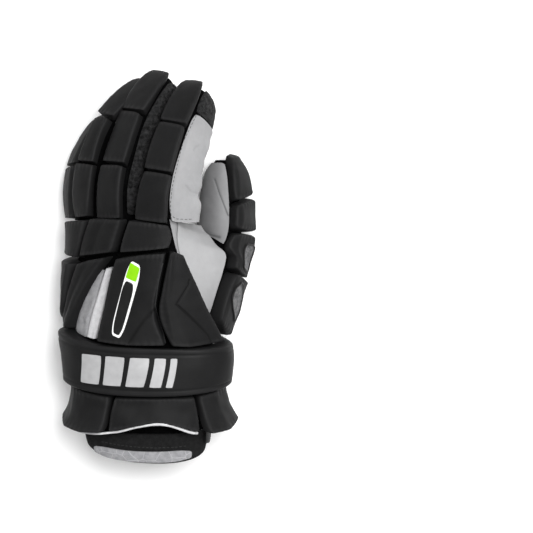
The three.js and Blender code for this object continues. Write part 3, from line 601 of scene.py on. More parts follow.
def leatherMaterial(name, look):
    rough, rougher = look["roughness"]
    material, tree, shader = baseMaterial(name, rough, look["specular"], look.get("sheen", 0.0))
    skin = setInputs(addNode(tree, "ShaderNodeGroup", {"node_tree": grain}), {
        "Cell size": look["cells"], "Wrinkle size": look["wrinkles"],
        "Dark": (*look["dark"], 1), "Light": (*look["light"], 1)})
    # lighter along the edges: partly wear, partly a painted highlight on the edges
    worn = markedColour(tree, "edge", look["wear"], skin.outputs["Color"], look["worn"])
    # darker along the grooves: painted shade, with the sewn lines' own dark; on the suede also its painted shade
    toned = markedColour(tree, "seam", look["seamShadeDark"], worn, look["seamShadeColour"])
    tree.links.new(toned, shader.inputs["Base Color"])
    tree.links.new(mapRange(tree, skin.outputs["Mask"], To_Min=rough, To_Max=rougher), shader.inputs["Roughness"])
    addBump(tree, shader, skin.outputs["Height"], look["bump"], 0.0006)
    return material


def clothMaterial(name, look):
    material, tree, shader = baseMaterial(name, look["roughness"], look["specular"], look.get("sheen", 0.0))
    cloth = setInputs(addNode(tree, "ShaderNodeGroup", {"node_tree": weave}), {
        "Threads": look["threads"], "Sharpness": look["sharpness"]})
    mottled = mixColour(tree, cloth.outputs["Mottle"], look["dark"], look["light"])
    holed = mixColour(tree, times(tree, cloth.outputs["Holes"], look["holes"]), mottled, look["holeColour"])
    toned = markedColour(tree, "seam", look.get("seamShadeDark", 0.0), holed, look.get("seamShadeColour", (0, 0, 0)))
    tree.links.new(toned, shader.inputs["Base Color"])
    fuzz = times(tree, cloth.outputs["Mottle"], look["fuzz"])
    addBump(tree, shader, mathNode(tree, "ADD", cloth.outputs["Height"], fuzz), look["bump"], 0.0008)
    return material


def liningMaterial(look):
    material, tree, shader = baseMaterial("cuffLining", 0.8, 0.3, 0.1)
    cells = objectTexture(tree, "ShaderNodeTexVoronoi", {"feature": "DISTANCE_TO_EDGE"}, Scale=look["cells"])
    line = mapRange(tree, cells.outputs["Distance"], From_Min=0.0, From_Max=look["line"], To_Min=1.0, To_Max=0.0)
    cloth = setInputs(addNode(tree, "ShaderNodeGroup", {"node_tree": weave}), {"Threads": look["threads"]})
    ground = mixColour(tree, cloth.outputs["Mottle"], look["dark"], look["light"])
    tree.links.new(mixColour(tree, line, ground, look["lines"]), shader.inputs["Base Color"])
    addBump(tree, shader, cloth.outputs["Height"], 0.3, 0.0004)
    return material


def printMaterial(name, look):
    material, tree, shader = baseMaterial(name, look["roughness"], 0.12)
    shader.inputs["Metallic"].default_value = look.get("metallic", 0.0)
    noise = objectTexture(tree, "ShaderNodeTexNoise", Scale=look["speckle"], Detail=3.0)
    tree.links.new(mixColour(tree, noise.outputs["Fac"], look["dark"], look["light"]), shader.inputs["Base Color"])
    addBump(tree, shader, noise.outputs["Fac"], 0.15, 0.0003)
    return material


def grey(level, blue):
    # a grey whose blue is a little stronger
    return level, level, blue


# the worn edge colour is lighter than the leather: wear and a painted highlight
padLook = {"roughness": (0.54, 0.66), "specular": 0.10, "cells": 900.0, "wrinkles": 110.0, "bump": 0.22,
           "dark": grey(0.0055, 0.0057), "light": grey(0.0095, 0.0098), "wear": 0.3,
           "worn": grey(0.024, 0.0245), "seamShadeDark": 0.8, "seamShadeColour": grey(0.003, 0.003)}
bandLook = dict(padLook, roughness=(0.46, 0.56), dark=grey(0.006, 0.0062), bump=0.14, wear=0.2)
# a lighter copy of the pad leather for the plate's edge bead: a painted highlight along that edge
edgeHighlightLook = dict(padLook, dark=grey(0.016, 0.0163), light=grey(0.024, 0.0245))
palmLook = {"roughness": (0.62, 0.75), "specular": 0.3, "cells": 1100.0, "wrinkles": 160.0, "bump": 0.35,
            "sheen": 0.1, "dark": grey(0.235, 0.24), "light": grey(0.29, 0.295), "wear": 0.15,
            "worn": grey(0.27, 0.275), "seamShadeDark": 0.85, "seamShadeColour": grey(0.12, 0.125)}
# a lighter copy of the palm leather for the web: painted light, where the gusset keeps the darker copy for its
# shade
webLitLook = dict(palmLook, dark=grey(0.31, 0.315), light=grey(0.36, 0.365))
# the suede's dark groove colour also paints its shade beside the index finger
suedeLook = dict(palmLook, dark=grey(0.21, 0.214), light=grey(0.265, 0.27), roughness=(0.75, 0.85), bump=0.2,
                 seamShadeDark=0.95, seamShadeColour=grey(0.05, 0.051))
# the knit's near-black is partly its own black and partly painted shade, so the gaps between the fingers come out
# black; the fuzzy strip keeps the knit's lighter look
knitGapShadeLook = {"roughness": 1.0, "specular": 0.02, "threads": 7.0, "sharpness": 2.0, "fuzz": 1.5, "bump": 0.8,
            "dark": grey(0.0012, 0.0013), "light": grey(0.0035, 0.0037),
            "holes": 0.4, "holeColour": grey(0.0006, 0.0006)}
fuzzyLook = dict(knitGapShadeLook, dark=grey(0.002, 0.0021), light=grey(0.030, 0.031), holes=0.5, sheen=0.05,
                 specular=0.1)
cuffLook = dict(knitGapShadeLook, specular=0.1, dark=grey(0.012, 0.0122), light=grey(0.019, 0.0193), threads=12.0)
windowLook = {"roughness": 0.7, "specular": 0.3, "threads": 4.5, "sharpness": 3.0, "fuzz": 0.3, "bump": 0.8,
              "dark": grey(0.06, 0.062), "light": grey(0.22, 0.225),
              "holes": 0.85, "holeColour": grey(0.012, 0.012)}
tipLook = dict(windowLook, specular=0.1, dark=grey(0.004, 0.0042), light=grey(0.036, 0.037),
               holeColour=grey(0.002, 0.002))
ventLook = {"roughness": 0.8, "specular": 0.3, "threads": 8.0, "sharpness": 3.0, "fuzz": 0.4, "bump": 0.4,
            "dark": grey(0.27, 0.28), "light": grey(0.34, 0.35), "holes": 0.35, "holeColour": grey(0.15, 0.155),
            "seamShadeDark": 0.9, "seamShadeColour": grey(0.04, 0.042)}
stripLook = dict(ventLook, dark=grey(0.48, 0.49), light=grey(0.58, 0.59), holes=0.15, seamShadeDark=0.6,
                 seamShadeColour=grey(0.4, 0.41))
pipingLook = dict(stripLook, dark=grey(0.5, 0.51), light=grey(0.66, 0.67), threads=16.0)
liningLook = {"cells": 75.0, "line": 0.02, "threads": 14.0, "dark": grey(0.20, 0.21), "light": grey(0.28, 0.29),
              "lines": grey(0.40, 0.415)}
printLook = {"roughness": 0.5, "speckle": 300.0, "dark": grey(0.72, 0.72), "light": grey(0.85, 0.85)}

padLeather = leatherMaterial("padLeather", padLook)
bandLeather = leatherMaterial("bandLeather", bandLook)
edgeHighlightLeather = leatherMaterial("edgeHighlightLeather", edgeHighlightLook)
palmLeather = leatherMaterial("palmLeather", palmLook)
webLeather = leatherMaterial("webLeather", webLitLook)
suede = leatherMaterial("thumbSuede", suedeLook)
knit = clothMaterial("blackKnitGapShade", knitGapShadeLook)
fuzzyKnit = clothMaterial("fuzzyKnit", fuzzyLook)
cuffCloth = clothMaterial("cuffCloth", cuffLook)
windowMesh = clothMaterial("windowMesh", windowLook)
tipMesh = clothMaterial("tipMesh", tipLook)
ventCloth = clothMaterial("ventFabric", ventLook)
stripCloth = clothMaterial("ventStrip", stripLook)
pipingCloth = clothMaterial("pipingCloth", pipingLook)
lining = liningMaterial(liningLook)
whitePrint = printMaterial("whitePrint", printLook)
limePrint = printMaterial("limePrint", dict(printLook, dark=(0.19, 0.50, 0.004), light=(0.25, 0.60, 0.008)))
darkPrint = printMaterial("darkPrint", dict(printLook, roughness=0.45, dark=grey(0.006, 0.006),
                                            light=grey(0.012, 0.012)))
silverPrint = printMaterial("silverPrint", {"roughness": 0.45, "metallic": 0.2, "speckle": 200.0,
                                            "dark": grey(0.33, 0.335), "light": grey(0.44, 0.445)})
darkThread = printMaterial("darkThread", {"roughness": 0.7, "speckle": 900.0, "dark": grey(0.02, 0.02),
                                          "light": grey(0.05, 0.05)})
print("stage 2: materials made")

# Pads of the fingers and thumb: angle and share of the length at the thumb side, then at the other side
fingerPads = {
    "index_pad_proximal": ([[49, -0.042, 116, -0.004], [53, 0.157, 112, 0.142], [52, 0.272, 104.5, 0.277]], {}),
    "index_pad_middle": ([[53, 0.278, 106.5, 0.282], [54.5, 0.43, 108.5, 0.45], [54, 0.597, 103.5, 0.617]], {}),
    "index_pad_distal": ([[52.5, 0.603, 106, 0.622], [47, 0.74, 103.5, 0.745], [43.5, 0.87, 97, 0.87],
                          [47, 0.968, 88, 0.994]],
                         {"corner": 0.05, "tip": 7}),
    "middle_pad_proximal": ([[64, -0.004, 140.5, 0.008], [66, 0.182, 133, 0.17], [68, 0.303, 138, 0.297]], {}),
    "middle_pad_middle": ([[67, 0.309, 134, 0.311], [69, 0.467, 138, 0.487], [70, 0.644, 138, 0.66]], {}),
    "middle_pad_distal": ([[64, 0.65, 137.5, 0.666], [54, 0.772, 127, 0.787], [46, 0.9, 112, 0.9],
                           [48, 0.982, 100, 1.008]],
                          {"corner": 0.05, "tip": 7}),
    "ring_pad_proximal": ([[78, 0.017, 136, 0.012], [64.5, 0.187, 128, 0.18], [61.5, 0.35, 128, 0.347]], {}),
    "ring_pad_middle": ([[64, 0.357, 118, 0.353], [71, 0.507, 113, 0.475], [76, 0.639, 119, 0.615]], {}),
    "ring_pad_distal": ([[66, 0.645, 131.5, 0.645], [66, 0.78, 129, 0.76], [64, 0.9, 128, 0.9], [60, 1, 122, 1]],
                        {"tip": 5, "corner": 0.07}),
    "pinky_pad_lower": ([[66, 0.015, 162, 0.015], [61.5, 0.245, 162, 0.245], [62, 0.456, 158, 0.449]], {}),
    "pinky_pad_upper": ([[60, 0.467, 160, 0.467], [66, 0.73, 158, 0.73], [70, 0.985, 150, 0.985]], {}),
    "thumb_pad_base": ([[38, 0.025, 104, 0.075], [24, 0.255, 107, 0.22], [34, 0.371, 101, 0.37]],
                       {"thick": 14, "edge": 4, "corner": 0.1, "ends": 1.0}),
    "thumb_pad_lower": ([[36, 0.379, 102, 0.378], [24, 0.44, 104, 0.44], [24, 0.51, 127, 0.49],
                         [42, 0.591, 118.5, 0.578]],
                        {"thick": 11.5, "corner": 0.1, "ends": 1.2}),
    "thumb_pad_middle": ([[44, 0.599, 119, 0.585], [25, 0.70, 117.5, 0.66], [44, 0.805, 117.5, 0.741]],
                         {"thick": 12, "corner": 0.12, "ends": 1.4}),
    "thumb_pad_distal": ([[52, 0.812, 117.5, 0.748], [30, 0.885, 121, 0.86], [32, 0.965, 119, 0.96],
                          [42, 1.04, 108, 1.022]],
                         {"thick": 10.5, "corner": 0.08, "tip": 11, "ends": 1.2}),
}
for node, (rows, look) in fingerPads.items():
    foamPad(node, node.split("_")[0], rows, look, padLeather)
print("stage 3: finger and thumb pads")

# Pads of the back of the hand and the cuff, in the same way
# sewn lines on the panel, darkened: the seam's own dark and painted shade in the groove
panelLine = [(191, 280), (190, 285), (178, 304), (190, 315), (203, 328), (209, 335), (212, 343)]
quarters = [0, 0.25, 0.5, 0.75, 1]
handPads = {
    "knuckle_pinky": ([[129.5, 0.842, 170, 0.86], [119.5, 0.918, 168, 0.92], [109.5, 1.003, 165, 0.998]],
                      {"thick": 11.5, "facets": [0, 0.5, 1], "crown": 1.4, "edge": 3}),
    "knuckle_middle": ([[88.5, 0.87, 126, 0.848], [81.5, 0.934, 117.5, 0.926], [73, 1.002, 105.5, 1.009]],
                       {"thick": 9.5, "facets": [0, 0.5, 1], "crown": 1.4}),
    "knuckle_index": ([[27.5, 0.89, 83, 0.868], [20, 0.932, 76.5, 0.93], [20.5, 0.978, 66.5, 1.001]],
                      {"thick": 9.5, "facets": [0, 0.4, 1], "crown": 1.4}),
    "outer_roll": ([[185, 0.562, 226, 0.553], [160, 0.634, 220, 0.62], [147, 0.735, 212, 0.72],
                    [135.5, 0.826, 204, 0.85]],
                   {"thick": 14, "facets": [0, 0.3, 0.7, 1], "crown": 1.2, "edge": 4}),
    "hand_side_pad": ([[160, 0.549, 186, 0.56], [140, 0.638, 161, 0.626], [117.5, 0.74, 145.5, 0.72],
                       [89.5, 0.862, 129, 0.824]],
                      {"thick": 10.5, "facets": [0, 0.5, 1], "crown": 1.2, "edge": 2.6, "lumps": 0.4}),
    "back_plate": ([[68, 0.5235, 120.5, 0.528], [67, 0.642, 109, 0.622], [53, 0.752, 98.5, 0.722],
                    [30.5, 0.882, 86.5, 0.856]],
                   {"thick": 10.5, "facets": [0, 0.5, 1], "crown": 1.4, "lumps": 0.35, "spacing": 0.7,
                    "grooves": [{"line": [(156, 309), (145, 320), (130, 342)], "depth": 0.6, "width": 1.2}]}),
    "thumb_side_panel": ([[6.5, 0.516, 66.5, 0.5235], [10.5, 0.646, 65, 0.64], [11.5, 0.75, 51.5, 0.742],
                          [14, 0.872, 27, 0.885]],
                         {"thick": 10.5, "facets": [0, 0.72, 1], "crown": 1.0, "edge": 2.2, "spacing": 0.6,
                          "lumps": 0.35,
                          "grooves": [{"line": panelLine, "depth": 0.8, "width": 0.8},
                                      {"line": [(176, 250), (168, 300), (176, 345)], "depth": -0.6,
                                       "width": 2.5, "dark": 0}]}),
    "flare_left": ([[117.5, 0.178, 204, 0.214], [115.5, 0.25, 203, 0.25], [111.5, 0.324, 202, 0.343]],
                   {"thick": 10, "facets": quarters, "crown": 0.8, "edge": 3.4, "bell": 12, "flareOut": 1.9,
                    "low": (1, 0.5), "bow": (-0.026, 0), "corner": 0.04, "lumps": 0.8}),
    "flare_centre": ([[40.5, 0.170, 116, 0.177], [43, 0.25, 114, 0.25], [47.5, 0.326, 110, 0.321]],
                     {"thick": 10, "facets": quarters, "crown": 0.6, "bell": 5, "bow": (0.0515, 0), "arch": 2,
                      "corner": 0.02, "ends": 0.9, "lumps": 0.8}),
    "flare_right": ([[-26, 0.203, 39, 0.172], [-25, 0.255, 41.5, 0.25], [-24, 0.343, 46, 0.329]],
                    {"thick": 10, "facets": [0, 0.35, 0.7, 1], "crown": 0.8, "edge": 3.4, "bell": 17,
                     "low": (0.6, 1), "bow": (-0.012, 0), "corner": 0.05, "lumps": 0.8}),
    "flare_under": ([[208, 0.22, 331, 0.22], [208, 0.28, 331, 0.28], [208, 0.338, 331, 0.338]],
                    {"thick": 10, "facets": [0, 0.2, 0.4, 0.6, 0.8, 1], "crown": 0.3, "edge": 5, "bell": 3,
                     "lumps": 0.2, "spacing": 1.2}),
}
for node, (rows, look) in handPads.items():
    foamPad(node, "hand", rows, look, padLeather)
print("stage 4: hand and cuff pads")


cuffShape = {"thick": 6.5, "thinning": 3.0, "middle": 0.082, "reach": 0.045, "turn": 20}


def cuffEdge(angle):
    # the inner cuff's open end, as a share of the hand's length
    return cuffShape["middle"] - cuffShape["reach"] * np.sin(np.radians(angle + cuffShape["turn"]))


def cuffLift(angle, at):
    low = cuffEdge(angle)
    v = np.clip((at - low) / (hand["from"] - gap / hand["length"] - low), 0, 1)
    full = cuffShape["thick"] - cuffShape["thinning"] * np.cos(np.radians(angle)) ** 2
    return full * (0.5 + 0.5 * np.sin(math.pi * (0.15 + 0.7 * v))) - hand["wall"]


# Thin skins: one thickness all over, with soft folds
skinSpec = {"base": seat, "thick": 1.2, "corner": 0.04, "bow": (0, 0), "spacing": 0.9, "folds": 0.3, "fold": 14,
            "seams": 0, "grooves": []}


def thinSkin(node, skin, rows, look):
    spec = dict(skinSpec, **look)
    place, name = skins[skin], pieceName(node)
    width, length = patchSize(place, rows, seat)
    u, v = unitGrid(width, length, spec["spacing"])
    angle, at = patchGrid(rows, *roundedCorner(u, v, spec["corner"]))
    at = bowed(at, u, v, spec)
    base = cuffLift(angle, at) + 2 * gap if spec["base"] == "cuff" else spec["base"]
    inner, outer = place(angle, at, base), place(angle, at, base + spec["thick"])
    rim = np.minimum(np.minimum(u, 1 - u) * width, np.minimum(v, 1 - v) * length)
    lift = spec["folds"] * (1 + ripple(outer, spec["fold"], len(name))) * np.clip(rim / 3, 0, 1)
    if "bulge" in spec:
        bulge = curveValue(np.array(spec["bulge"], float), at)[..., 0]
        lift = lift + bulge * np.clip((20 - angle) / 40, 0, 1)
    depth, seam = cutGrooves(outer, spec["grooves"])
    lift = lift - depth
    if spec["seams"]:
        lift -= 0.25 * np.exp(-((rim - spec["seams"]) / 0.7) ** 2)
    outer = outer + unit(outer - inner) * lift[..., None]
    # the suede's painted shade joins the darkened grooves
    if "shade" in spec:
        seam = np.maximum(seam, spec["shade"](outer))
    # near the rim the skin gets its worn look and a painted highlight
    return shell(name, outer, inner, marks={"edge": np.exp(-(rim / 1.2) ** 2), "seam": seam})


def thumbShade(points):
    # painted shade: the suede is darker beside the index finger, and low down where the web shades it
    (left, low), (right, _) = layout([[200, 225], [230, 225]])
    t = np.clip((points[..., 0] - left) / (right - left), 0, 1)
    below = np.clip((low - points[..., 1]) / 12, 0, 1)
    return np.clip(0.85 * (1 - t) ** 1.1 + 0.4 * below * (1 - t), 0, 0.95)


# crease grooves, darkened with painted shade
wrinkle = {"depth": 0.3, "width": 0.7, "dark": 0.3}
skinPieces = {  # skin, rows, material, slot and look
    "index_gusset": ("index", [[-58, -0.02, 38, -0.022], [-58, 0.12, 48.5, 0.12], [-58, 0.35, 51.5, 0.35],
                               [-58, 0.62, 46.5, 0.635], [-50, 0.725, 39.5, 0.728]], palmLeather, "palm",
                     {"folds": 0.5, "fold": 16, "seams": 1.8,
                      "grooves": [{"line": [(194, 151), (196, 148), (199, 146)], **wrinkle},
                                  {"line": [(186, 186), (189, 191), (193, 193)], **wrinkle}],
                      "bulge": [[0, 7.5], [0.12, 6.5], [0.2, 3.5], [0.3, 4.0], [0.42, 1.2], [0.6, 0.8],
                                [0.75, 0.6]]}),
    "index_tip_mesh": ("index", [[-58, 0.735, 40, 0.74], [-50, 0.84, 38, 0.83], [-40, 0.97, 24, 0.985]], tipMesh,
                       "window_mesh", {"folds": 0.4, "fold": 9}),
    "middle_side_knit": ("middle", [[12, 0.03, 50, 0.03], [11, 0.31, 53, 0.31], [14, 0.62, 58, 0.62],
                                    [-8, 0.96, 34, 0.92]],
                         fuzzyKnit, "knit", {"base": 1.6, "folds": 1.1, "fold": 5, "spacing": 0.7}),
    "thumb_suede": ("thumb", [[130, 0.50, 262, 0.57], [121.5, 0.60, 262, 0.62], [120, 0.71, 262, 0.72],
                              [123, 0.85, 262, 0.85], [126.5, 0.985, 255, 0.985]], suede, "palm",
                    {"folds": 0.35, "fold": 20, "shade": thumbShade, "bow": (0.025, 0),
                     # the slit is darkened with painted shade, and the broad line below it is a painted shadow
                     # under the web's edge
                     "grooves": [{"line": [(214, 178), (219, 193), (228, 215)], "depth": 0.8, "width": 0.7,
                                  "dark": 0.9},
                                 {"line": [(203, 230), (208, 234), (219, 237)], "depth": 0.9, "width": 1.8,
                                  "dark": 0.95}]}),
    "thumb_web": ("thumb", [[128, 0.08, 262, 0.08], [126, 0.24, 262, 0.24], [146, 0.40, 250, 0.44]],
                  palmLeather, "palm", {"folds": 0.4}),
    "vent_fabric": ("hand", [[134, 0.532, 161, 0.545], [117, 0.66, 138.5, 0.655], [101.5, 0.80, 106, 0.80]],
                    ventCloth, "vent",
                    {"folds": 0.6, "fold": 18,
                     "grooves": [{"line": [(88, 345), (89, 318), (97, 300)], "depth": -1.6, "width": 3.0,
                                  "dark": 0}]}),
    "strap_end": ("hand", [[238, 0.365, 288, 0.365], [238, 0.50, 288, 0.50]], bandLeather, "strap",
                  {"base": 6.8, "thick": 2, "folds": 0.0, "spacing": 1.2}),
    "cuff_lining": ("hand", [[42, 0.044, 141, 0.060], [43, 0.093, 139, 0.103]], lining, "lining",
                    {"base": "cuff", "thick": 1.5, "bow": (-0.006, -0.006), "folds": 0.25, "fold": 9,
                     "corner": 0.2}),
    "pull_tab": ("hand", [[-2, 0.086, 20, 0.10], [-2, 0.128, 20, 0.146]], bandLeather, "strap",
                 {"base": "cuff", "thick": 2, "folds": 0.0}),
}
for node, (skin, rows, material, slotName, look) in skinPieces.items():
    finishPiece(thinSkin(node, skin, rows, look), material, node)
stripRows = [[122, 0.530, 134, 0.536], [110.5, 0.622, 121.5, 0.632], [100, 0.715, 110.5, 0.712],
             [91, 0.815, 98, 0.812]]
stripShape = {"thick": 4.5, "facets": [0, 0.5, 1], "crown": 0.6, "edge": 2.2, "pucker": 0.1, "lumps": 0.15,
              "corner": 0.02}
foamPad("vent_strip", "hand", stripRows, stripShape, stripCloth)
print("stage 5: skins and vent")


# Hollow shells: the hand, the stalls, the band and the inner cuff
shellGrid = {"degrees": 1.4, "rows": 120, "stallColumns": 72, "stallRows": 90, "tipBias": 1.25, "tipWall": 0.975}


def ringGrid(around, across):
    return np.linspace(0, 360, around, endpoint=False)[None, :] - 90, np.linspace(0, 1, across)[:, None]


def handShell(node, first, last, material, hole=None):
    angles = np.linspace(first, last, int((last - first) / shellGrid["degrees"]))[None, :]
    ats = np.linspace(hand["from"], 1, shellGrid["rows"])[:, None]
    outer = handSkin(angles, ats, 0)
    inner = handSkin(angles, ats, -hand["wall"])
    keep = ~hole((inner[:-1, :-1] + inner[1:, 1:]) / 2) if hole else None
    return finishPiece(shell(pieceName(node), outer, inner, keep=keep), material, node)


def insideThumb(points):
    ats = np.linspace(0, 0.98, 60)
    centre = (skins["thumb"](0.0, ats, 0.0) + skins["thumb"](180.0, ats, 0.0)) / 2
    size = curveValue(taperRows["thumb"], ats)[..., 0] * (stalls["thumb"]["width"] / 2 - 1.5)
    distance = np.linalg.norm(points[..., None, :] - centre, axis=-1)
    return (distance < size).any(axis=-1)


def insideHand(points):
    # the skin's lean is undone first, in a few rounds
    at = (points[..., 1] - cuffStart) / hand["length"]
    for _ in range(3):
        _, z, _, _, _, lean = np.moveaxis(curveValue(handRows, np.clip(at, 0, 1)), -1, 0)
        at = (points[..., 1] - cuffStart + lean * (points[..., 2] - z * hand["depth"])) / hand["length"]
    x, z, width, depth, roll, _ = np.moveaxis(curveValue(handRows, np.clip(at, 0, 1)), -1, 0)
    qx, qz = turned(points[..., 0] - x * hand["width"], points[..., 2] - z * hand["depth"], -roll)
    wide, deep = np.abs(2 * qx / (width * hand["width"])), np.abs(2 * qz / (depth * hand["depth"]))
    reach = wide ** hand["roundness"] + deep ** hand["roundness"]
    return (reach < 0.99) & (at > 0) & (at < 1)


handShell("palm_leather", 192.6, 371.4, palmLeather, insideThumb)
handShell("back_shell", 12, 192, knit)


def stallShell(name):
    place, node = skins[name], f"{name}_stall"
    angles, v = ringGrid(shellGrid["stallColumns"], shellGrid["stallRows"])
    ats = 1 - (1 - v) ** shellGrid["tipBias"]
    layers = place(angles, ats, 0), place(angles, ats * shellGrid["tipWall"], -hand["wall"])
    outer, inner = (np.concatenate([g, np.broadcast_to(g[-1].mean(axis=0), g[-1:].shape)]) for g in layers)
    keep = None
    if name == "thumb":
        closed = np.concatenate([outer, outer[:, :1]], axis=1)
        keep = ~insideHand((closed[:-1, :-1] + closed[1:, 1:]) / 2)
    outer[..., 2] = np.maximum(outer[..., 2], pressedFlat["stalls"])
    return finishPiece(shell(pieceName(node), outer, inner, ring=True, keep=keep), knit, node)


for name in stalls:
    stallShell(name)


bandShape = {
    "around": 260, "across": 44, "from": 0.328, "fromRise": 0.022, "to": 0.511, "toRise": 0.036,
    "thick": 14, "under": 5, "blend": 0.35, "sides": 2.5, "thumbSide": 1.2,  # its thickness all round
    "round": 0.045, "rimHeight": 0.35, "lean": 0.26, "lumps": 0.5,
    "hem": 0.5, "hemAt": 0.14, "hemWidth": 0.018, "wornHighlightAt": 0.07, "wornHighlightWidth": 0.04,
}


def wristBand():
    look = bandShape
    angles, v = ringGrid(look["around"], look["across"])
    c, s = np.cos(np.radians(angles)), np.sin(np.radians(angles))
    x = np.clip((s + look["blend"]) / (2 * look["blend"]), 0, 1)
    lift = look["under"] + (look["thick"] - look["under"]) * x * x * (3 - 2 * x)
    lift = lift + look["sides"] * c ** 2 + look["thumbSide"] * np.maximum(0, c) ** 2
    rim = np.minimum(v, 1 - v)
    lift = lift * (look["rimHeight"] + (1 - look["rimHeight"]) * quarter(rim, look["round"]))
    low = look["from"] + look["fromRise"] * np.minimum(1 - s, 1)
    high = look["to"] + look["toRise"] * np.maximum(0, -c) ** 3
    ats = low + (high - low) * v
    outer = handSkin(angles, ats, seat + lift)
    outer[..., 1] += look["lean"] * lift * np.maximum(0, s) * v
    hem = -look["hem"] * np.exp(-((rim - look["hemAt"]) / look["hemWidth"]) ** 2)
    height = hem + look["lumps"] * ripple(outer, 40, 5) * np.clip(rim * 8, 0, 1)
    out = normalsOf(outer)
    outwards = np.sign((out * (outer - outer.mean(axis=(0, 1)))).sum(-1).mean())
    outer = outer + out * height[..., None] * outwards
    inner = handSkin(angles, ats, seat)
    # the band's rims get the worn look and a painted highlight
    edge = np.exp(-((rim - look["wornHighlightAt"]) / look["wornHighlightWidth"]) ** 2) + 0 * angles
    obj = shell("wristBand", outer, inner, ring=True, marks={"edge": edge})
    finishPiece(obj, bandLeather, "wrist_band")
    return obj


def innerCuff():
    angles, v = ringGrid(200, 28)
    low = cuffEdge(angles)
    ats = low + (hand["from"] - gap / hand["length"] - low) * v
    inner = handSkin(angles, ats, -hand["wall"])
    outer = handSkin(angles, ats, cuffLift(angles, ats))
    lumps = 0.4 * ripple(outer, 12, 9) * np.clip(np.minimum(v, 1 - v) * 6, 0, 1)
    outer = outer + normalsOf(outer) * lumps[..., None]
    obj = shell("innerCuff", outer, inner, ring=True)
    finishPiece(obj, cuffCloth, "inner_cuff")


# Tubes: piping, rims and threads
def ringsRound(points, radius, side, up, sides):
    turn = np.linspace(0, 2 * math.pi, sides, endpoint=False)[None, :, None]
    return points[:, None] + radius * (side[:, None] * np.cos(turn) + up[..., None, :] * np.sin(turn))


def tubeWalls(rows, sides, first=0):
    faces = []
    for a in range(first, first + (rows - 1) * sides, sides):
        for j in range(sides):
            k = (j + 1) % sides
            faces.append([a + j, a + k, a + sides + k, a + sides + j])
    return faces


def tubeAlong(name, points, radius, sides):
    points = np.asarray(points, float)
    tangent = unit(np.gradient(points, axis=0))
    side = unit(np.cross(tangent, (0, 0, 1.0)))
    radii = np.broadcast_to(radius, len(points))[:, None, None]
    rings = ringsRound(points, radii, side, np.cross(side, tangent), sides)
    verts = np.concatenate([rings.reshape(-1, 3), points[:1], points[-1:]])
    faces, last = tubeWalls(len(points), sides), len(points) * sides
    for j in range(sides):
        k = (j + 1) % sides
        faces.append([last, k, j, j])
        faces.append([last + 1, last - sides + j, last - sides + k, last - sides + k])
    return meshPiece(name, verts, np.array(faces))


piping = {"left": [0.34, 0.24, 0.14, 0.05], "leftLift": 3, "leftOut": 0.004, "arch": (0.95, 0.02), "archLift": 5,
          "archRise": 4.3, "archOut": 0.003, "middleOut": 0.001, "radius": 0.85, "growth": 0.4}


def flareEdge(node, u, out, lift):
    # places along the open end of a flare, a little outside it
    rows, look = handPads[node]
    angle, at = patchGrid(rows, u, np.zeros_like(u))
    return handSkin(angle, bowed(at, u, 0, look) - out, seat + look["bell"] + lift)


def cuffPiping():
    # it edges the inner end of the left flare and the whole arch
    across = np.linspace(*piping["arch"], 16)
    arch = np.sin(math.pi * across) ** 2
    stops = np.concatenate([
        flareEdge("flare_left", np.array(piping["left"]), piping["leftOut"], piping["leftLift"]),
        flareEdge("flare_centre", across, piping["archOut"] + piping["middleOut"] * arch,
                  piping["archLift"] + piping["archRise"] * arch)])
    run = runAlong(stops)
    u = np.linspace(0, 1, 140)
    points = curveValue(np.column_stack([run / run[-1], stops]), u)
    obj = tubeAlong("flarePiping", points, piping["radius"] + piping["growth"] * u, 12)
    return finishPiece(obj, pipingCloth, "flare_piping")


def treeOf(*objects):
    verts, faces = [], []
    for obj in objects:
        start = len(verts)
        verts += [v.co * 1000 for v in obj.data.vertices]
        faces += [[start + k for k in p.vertices] for p in obj.data.polygons]
    return BVHTree.FromPolygons(verts, faces)


def laidOn(tree, points, inward, low, high):
    # two layers of a thin piece that lies on what the rays meet
    outer, inner = np.empty_like(points), np.empty_like(points)
    for k in np.ndindex(points.shape[:-1]):
        ray = Vector(inward[k]).normalized()
        hit = tree.ray_cast(Vector(points[k] + shift), ray)[0]
        at = np.array(hit) - shift if hit else points[k] + np.array(ray) * 12
        outer[k], inner[k] = at - np.array(ray) * high, at - np.array(ray) * low
    return outer, inner


laidSpec = {"corner": 0.1, "spacing": 0.9, "low": -0.4, "high": 0.45, "from": 24}


def laidPatch(name, tree, skin, rows, look):
    spec = dict(laidSpec, **look)
    place = skins[skin]
    u, v = unitGrid(*patchSize(place, rows, 10, 7), spec["spacing"])
    angle, at = patchGrid(rows, *roundedCorner(u, v, spec["corner"]))
    start = place(angle, at, spec["from"])
    outer, inner = laidOn(tree, start, place(angle, at, spec["from"] - 5) - start, spec["low"], spec["high"])
    return shell(name, outer, inner), outer


def rimOf(grid):
    # the closed line round a grid of points
    return np.concatenate([grid[0, :-1], grid[:-1, -1], grid[-1, :0:-1], grid[:0:-1, 0], grid[:1, 0]])


rimRadius = 0.9
windows = {  # the pad under it, rows and look
    "thumb_window_base": ("thumb_pad_base", [[50, 0.13, 60, 0.13], [46, 0.20, 90, 0.20], [50, 0.27, 92, 0.27],
                                             [68, 0.325, 86, 0.32]], {"corner": 0.25, "high": 0.3}),
    "thumb_window_lower": ("thumb_pad_lower", [[50, 0.415, 84, 0.415], [50, 0.54, 88, 0.53]],
                           {"corner": 0.12, "high": 0.3}),
}
for node, (under, rows, look) in windows.items():
    obj, grid = laidPatch(pieceName(node), treeOf(bpy.data.objects[pieceName(under)]), "thumb", rows, look)
    finishPiece(obj, windowMesh, node)
    finishPiece(tubeAlong(pieceName(node) + "Rim", rimOf(grid), rimRadius, 8), darkPrint)


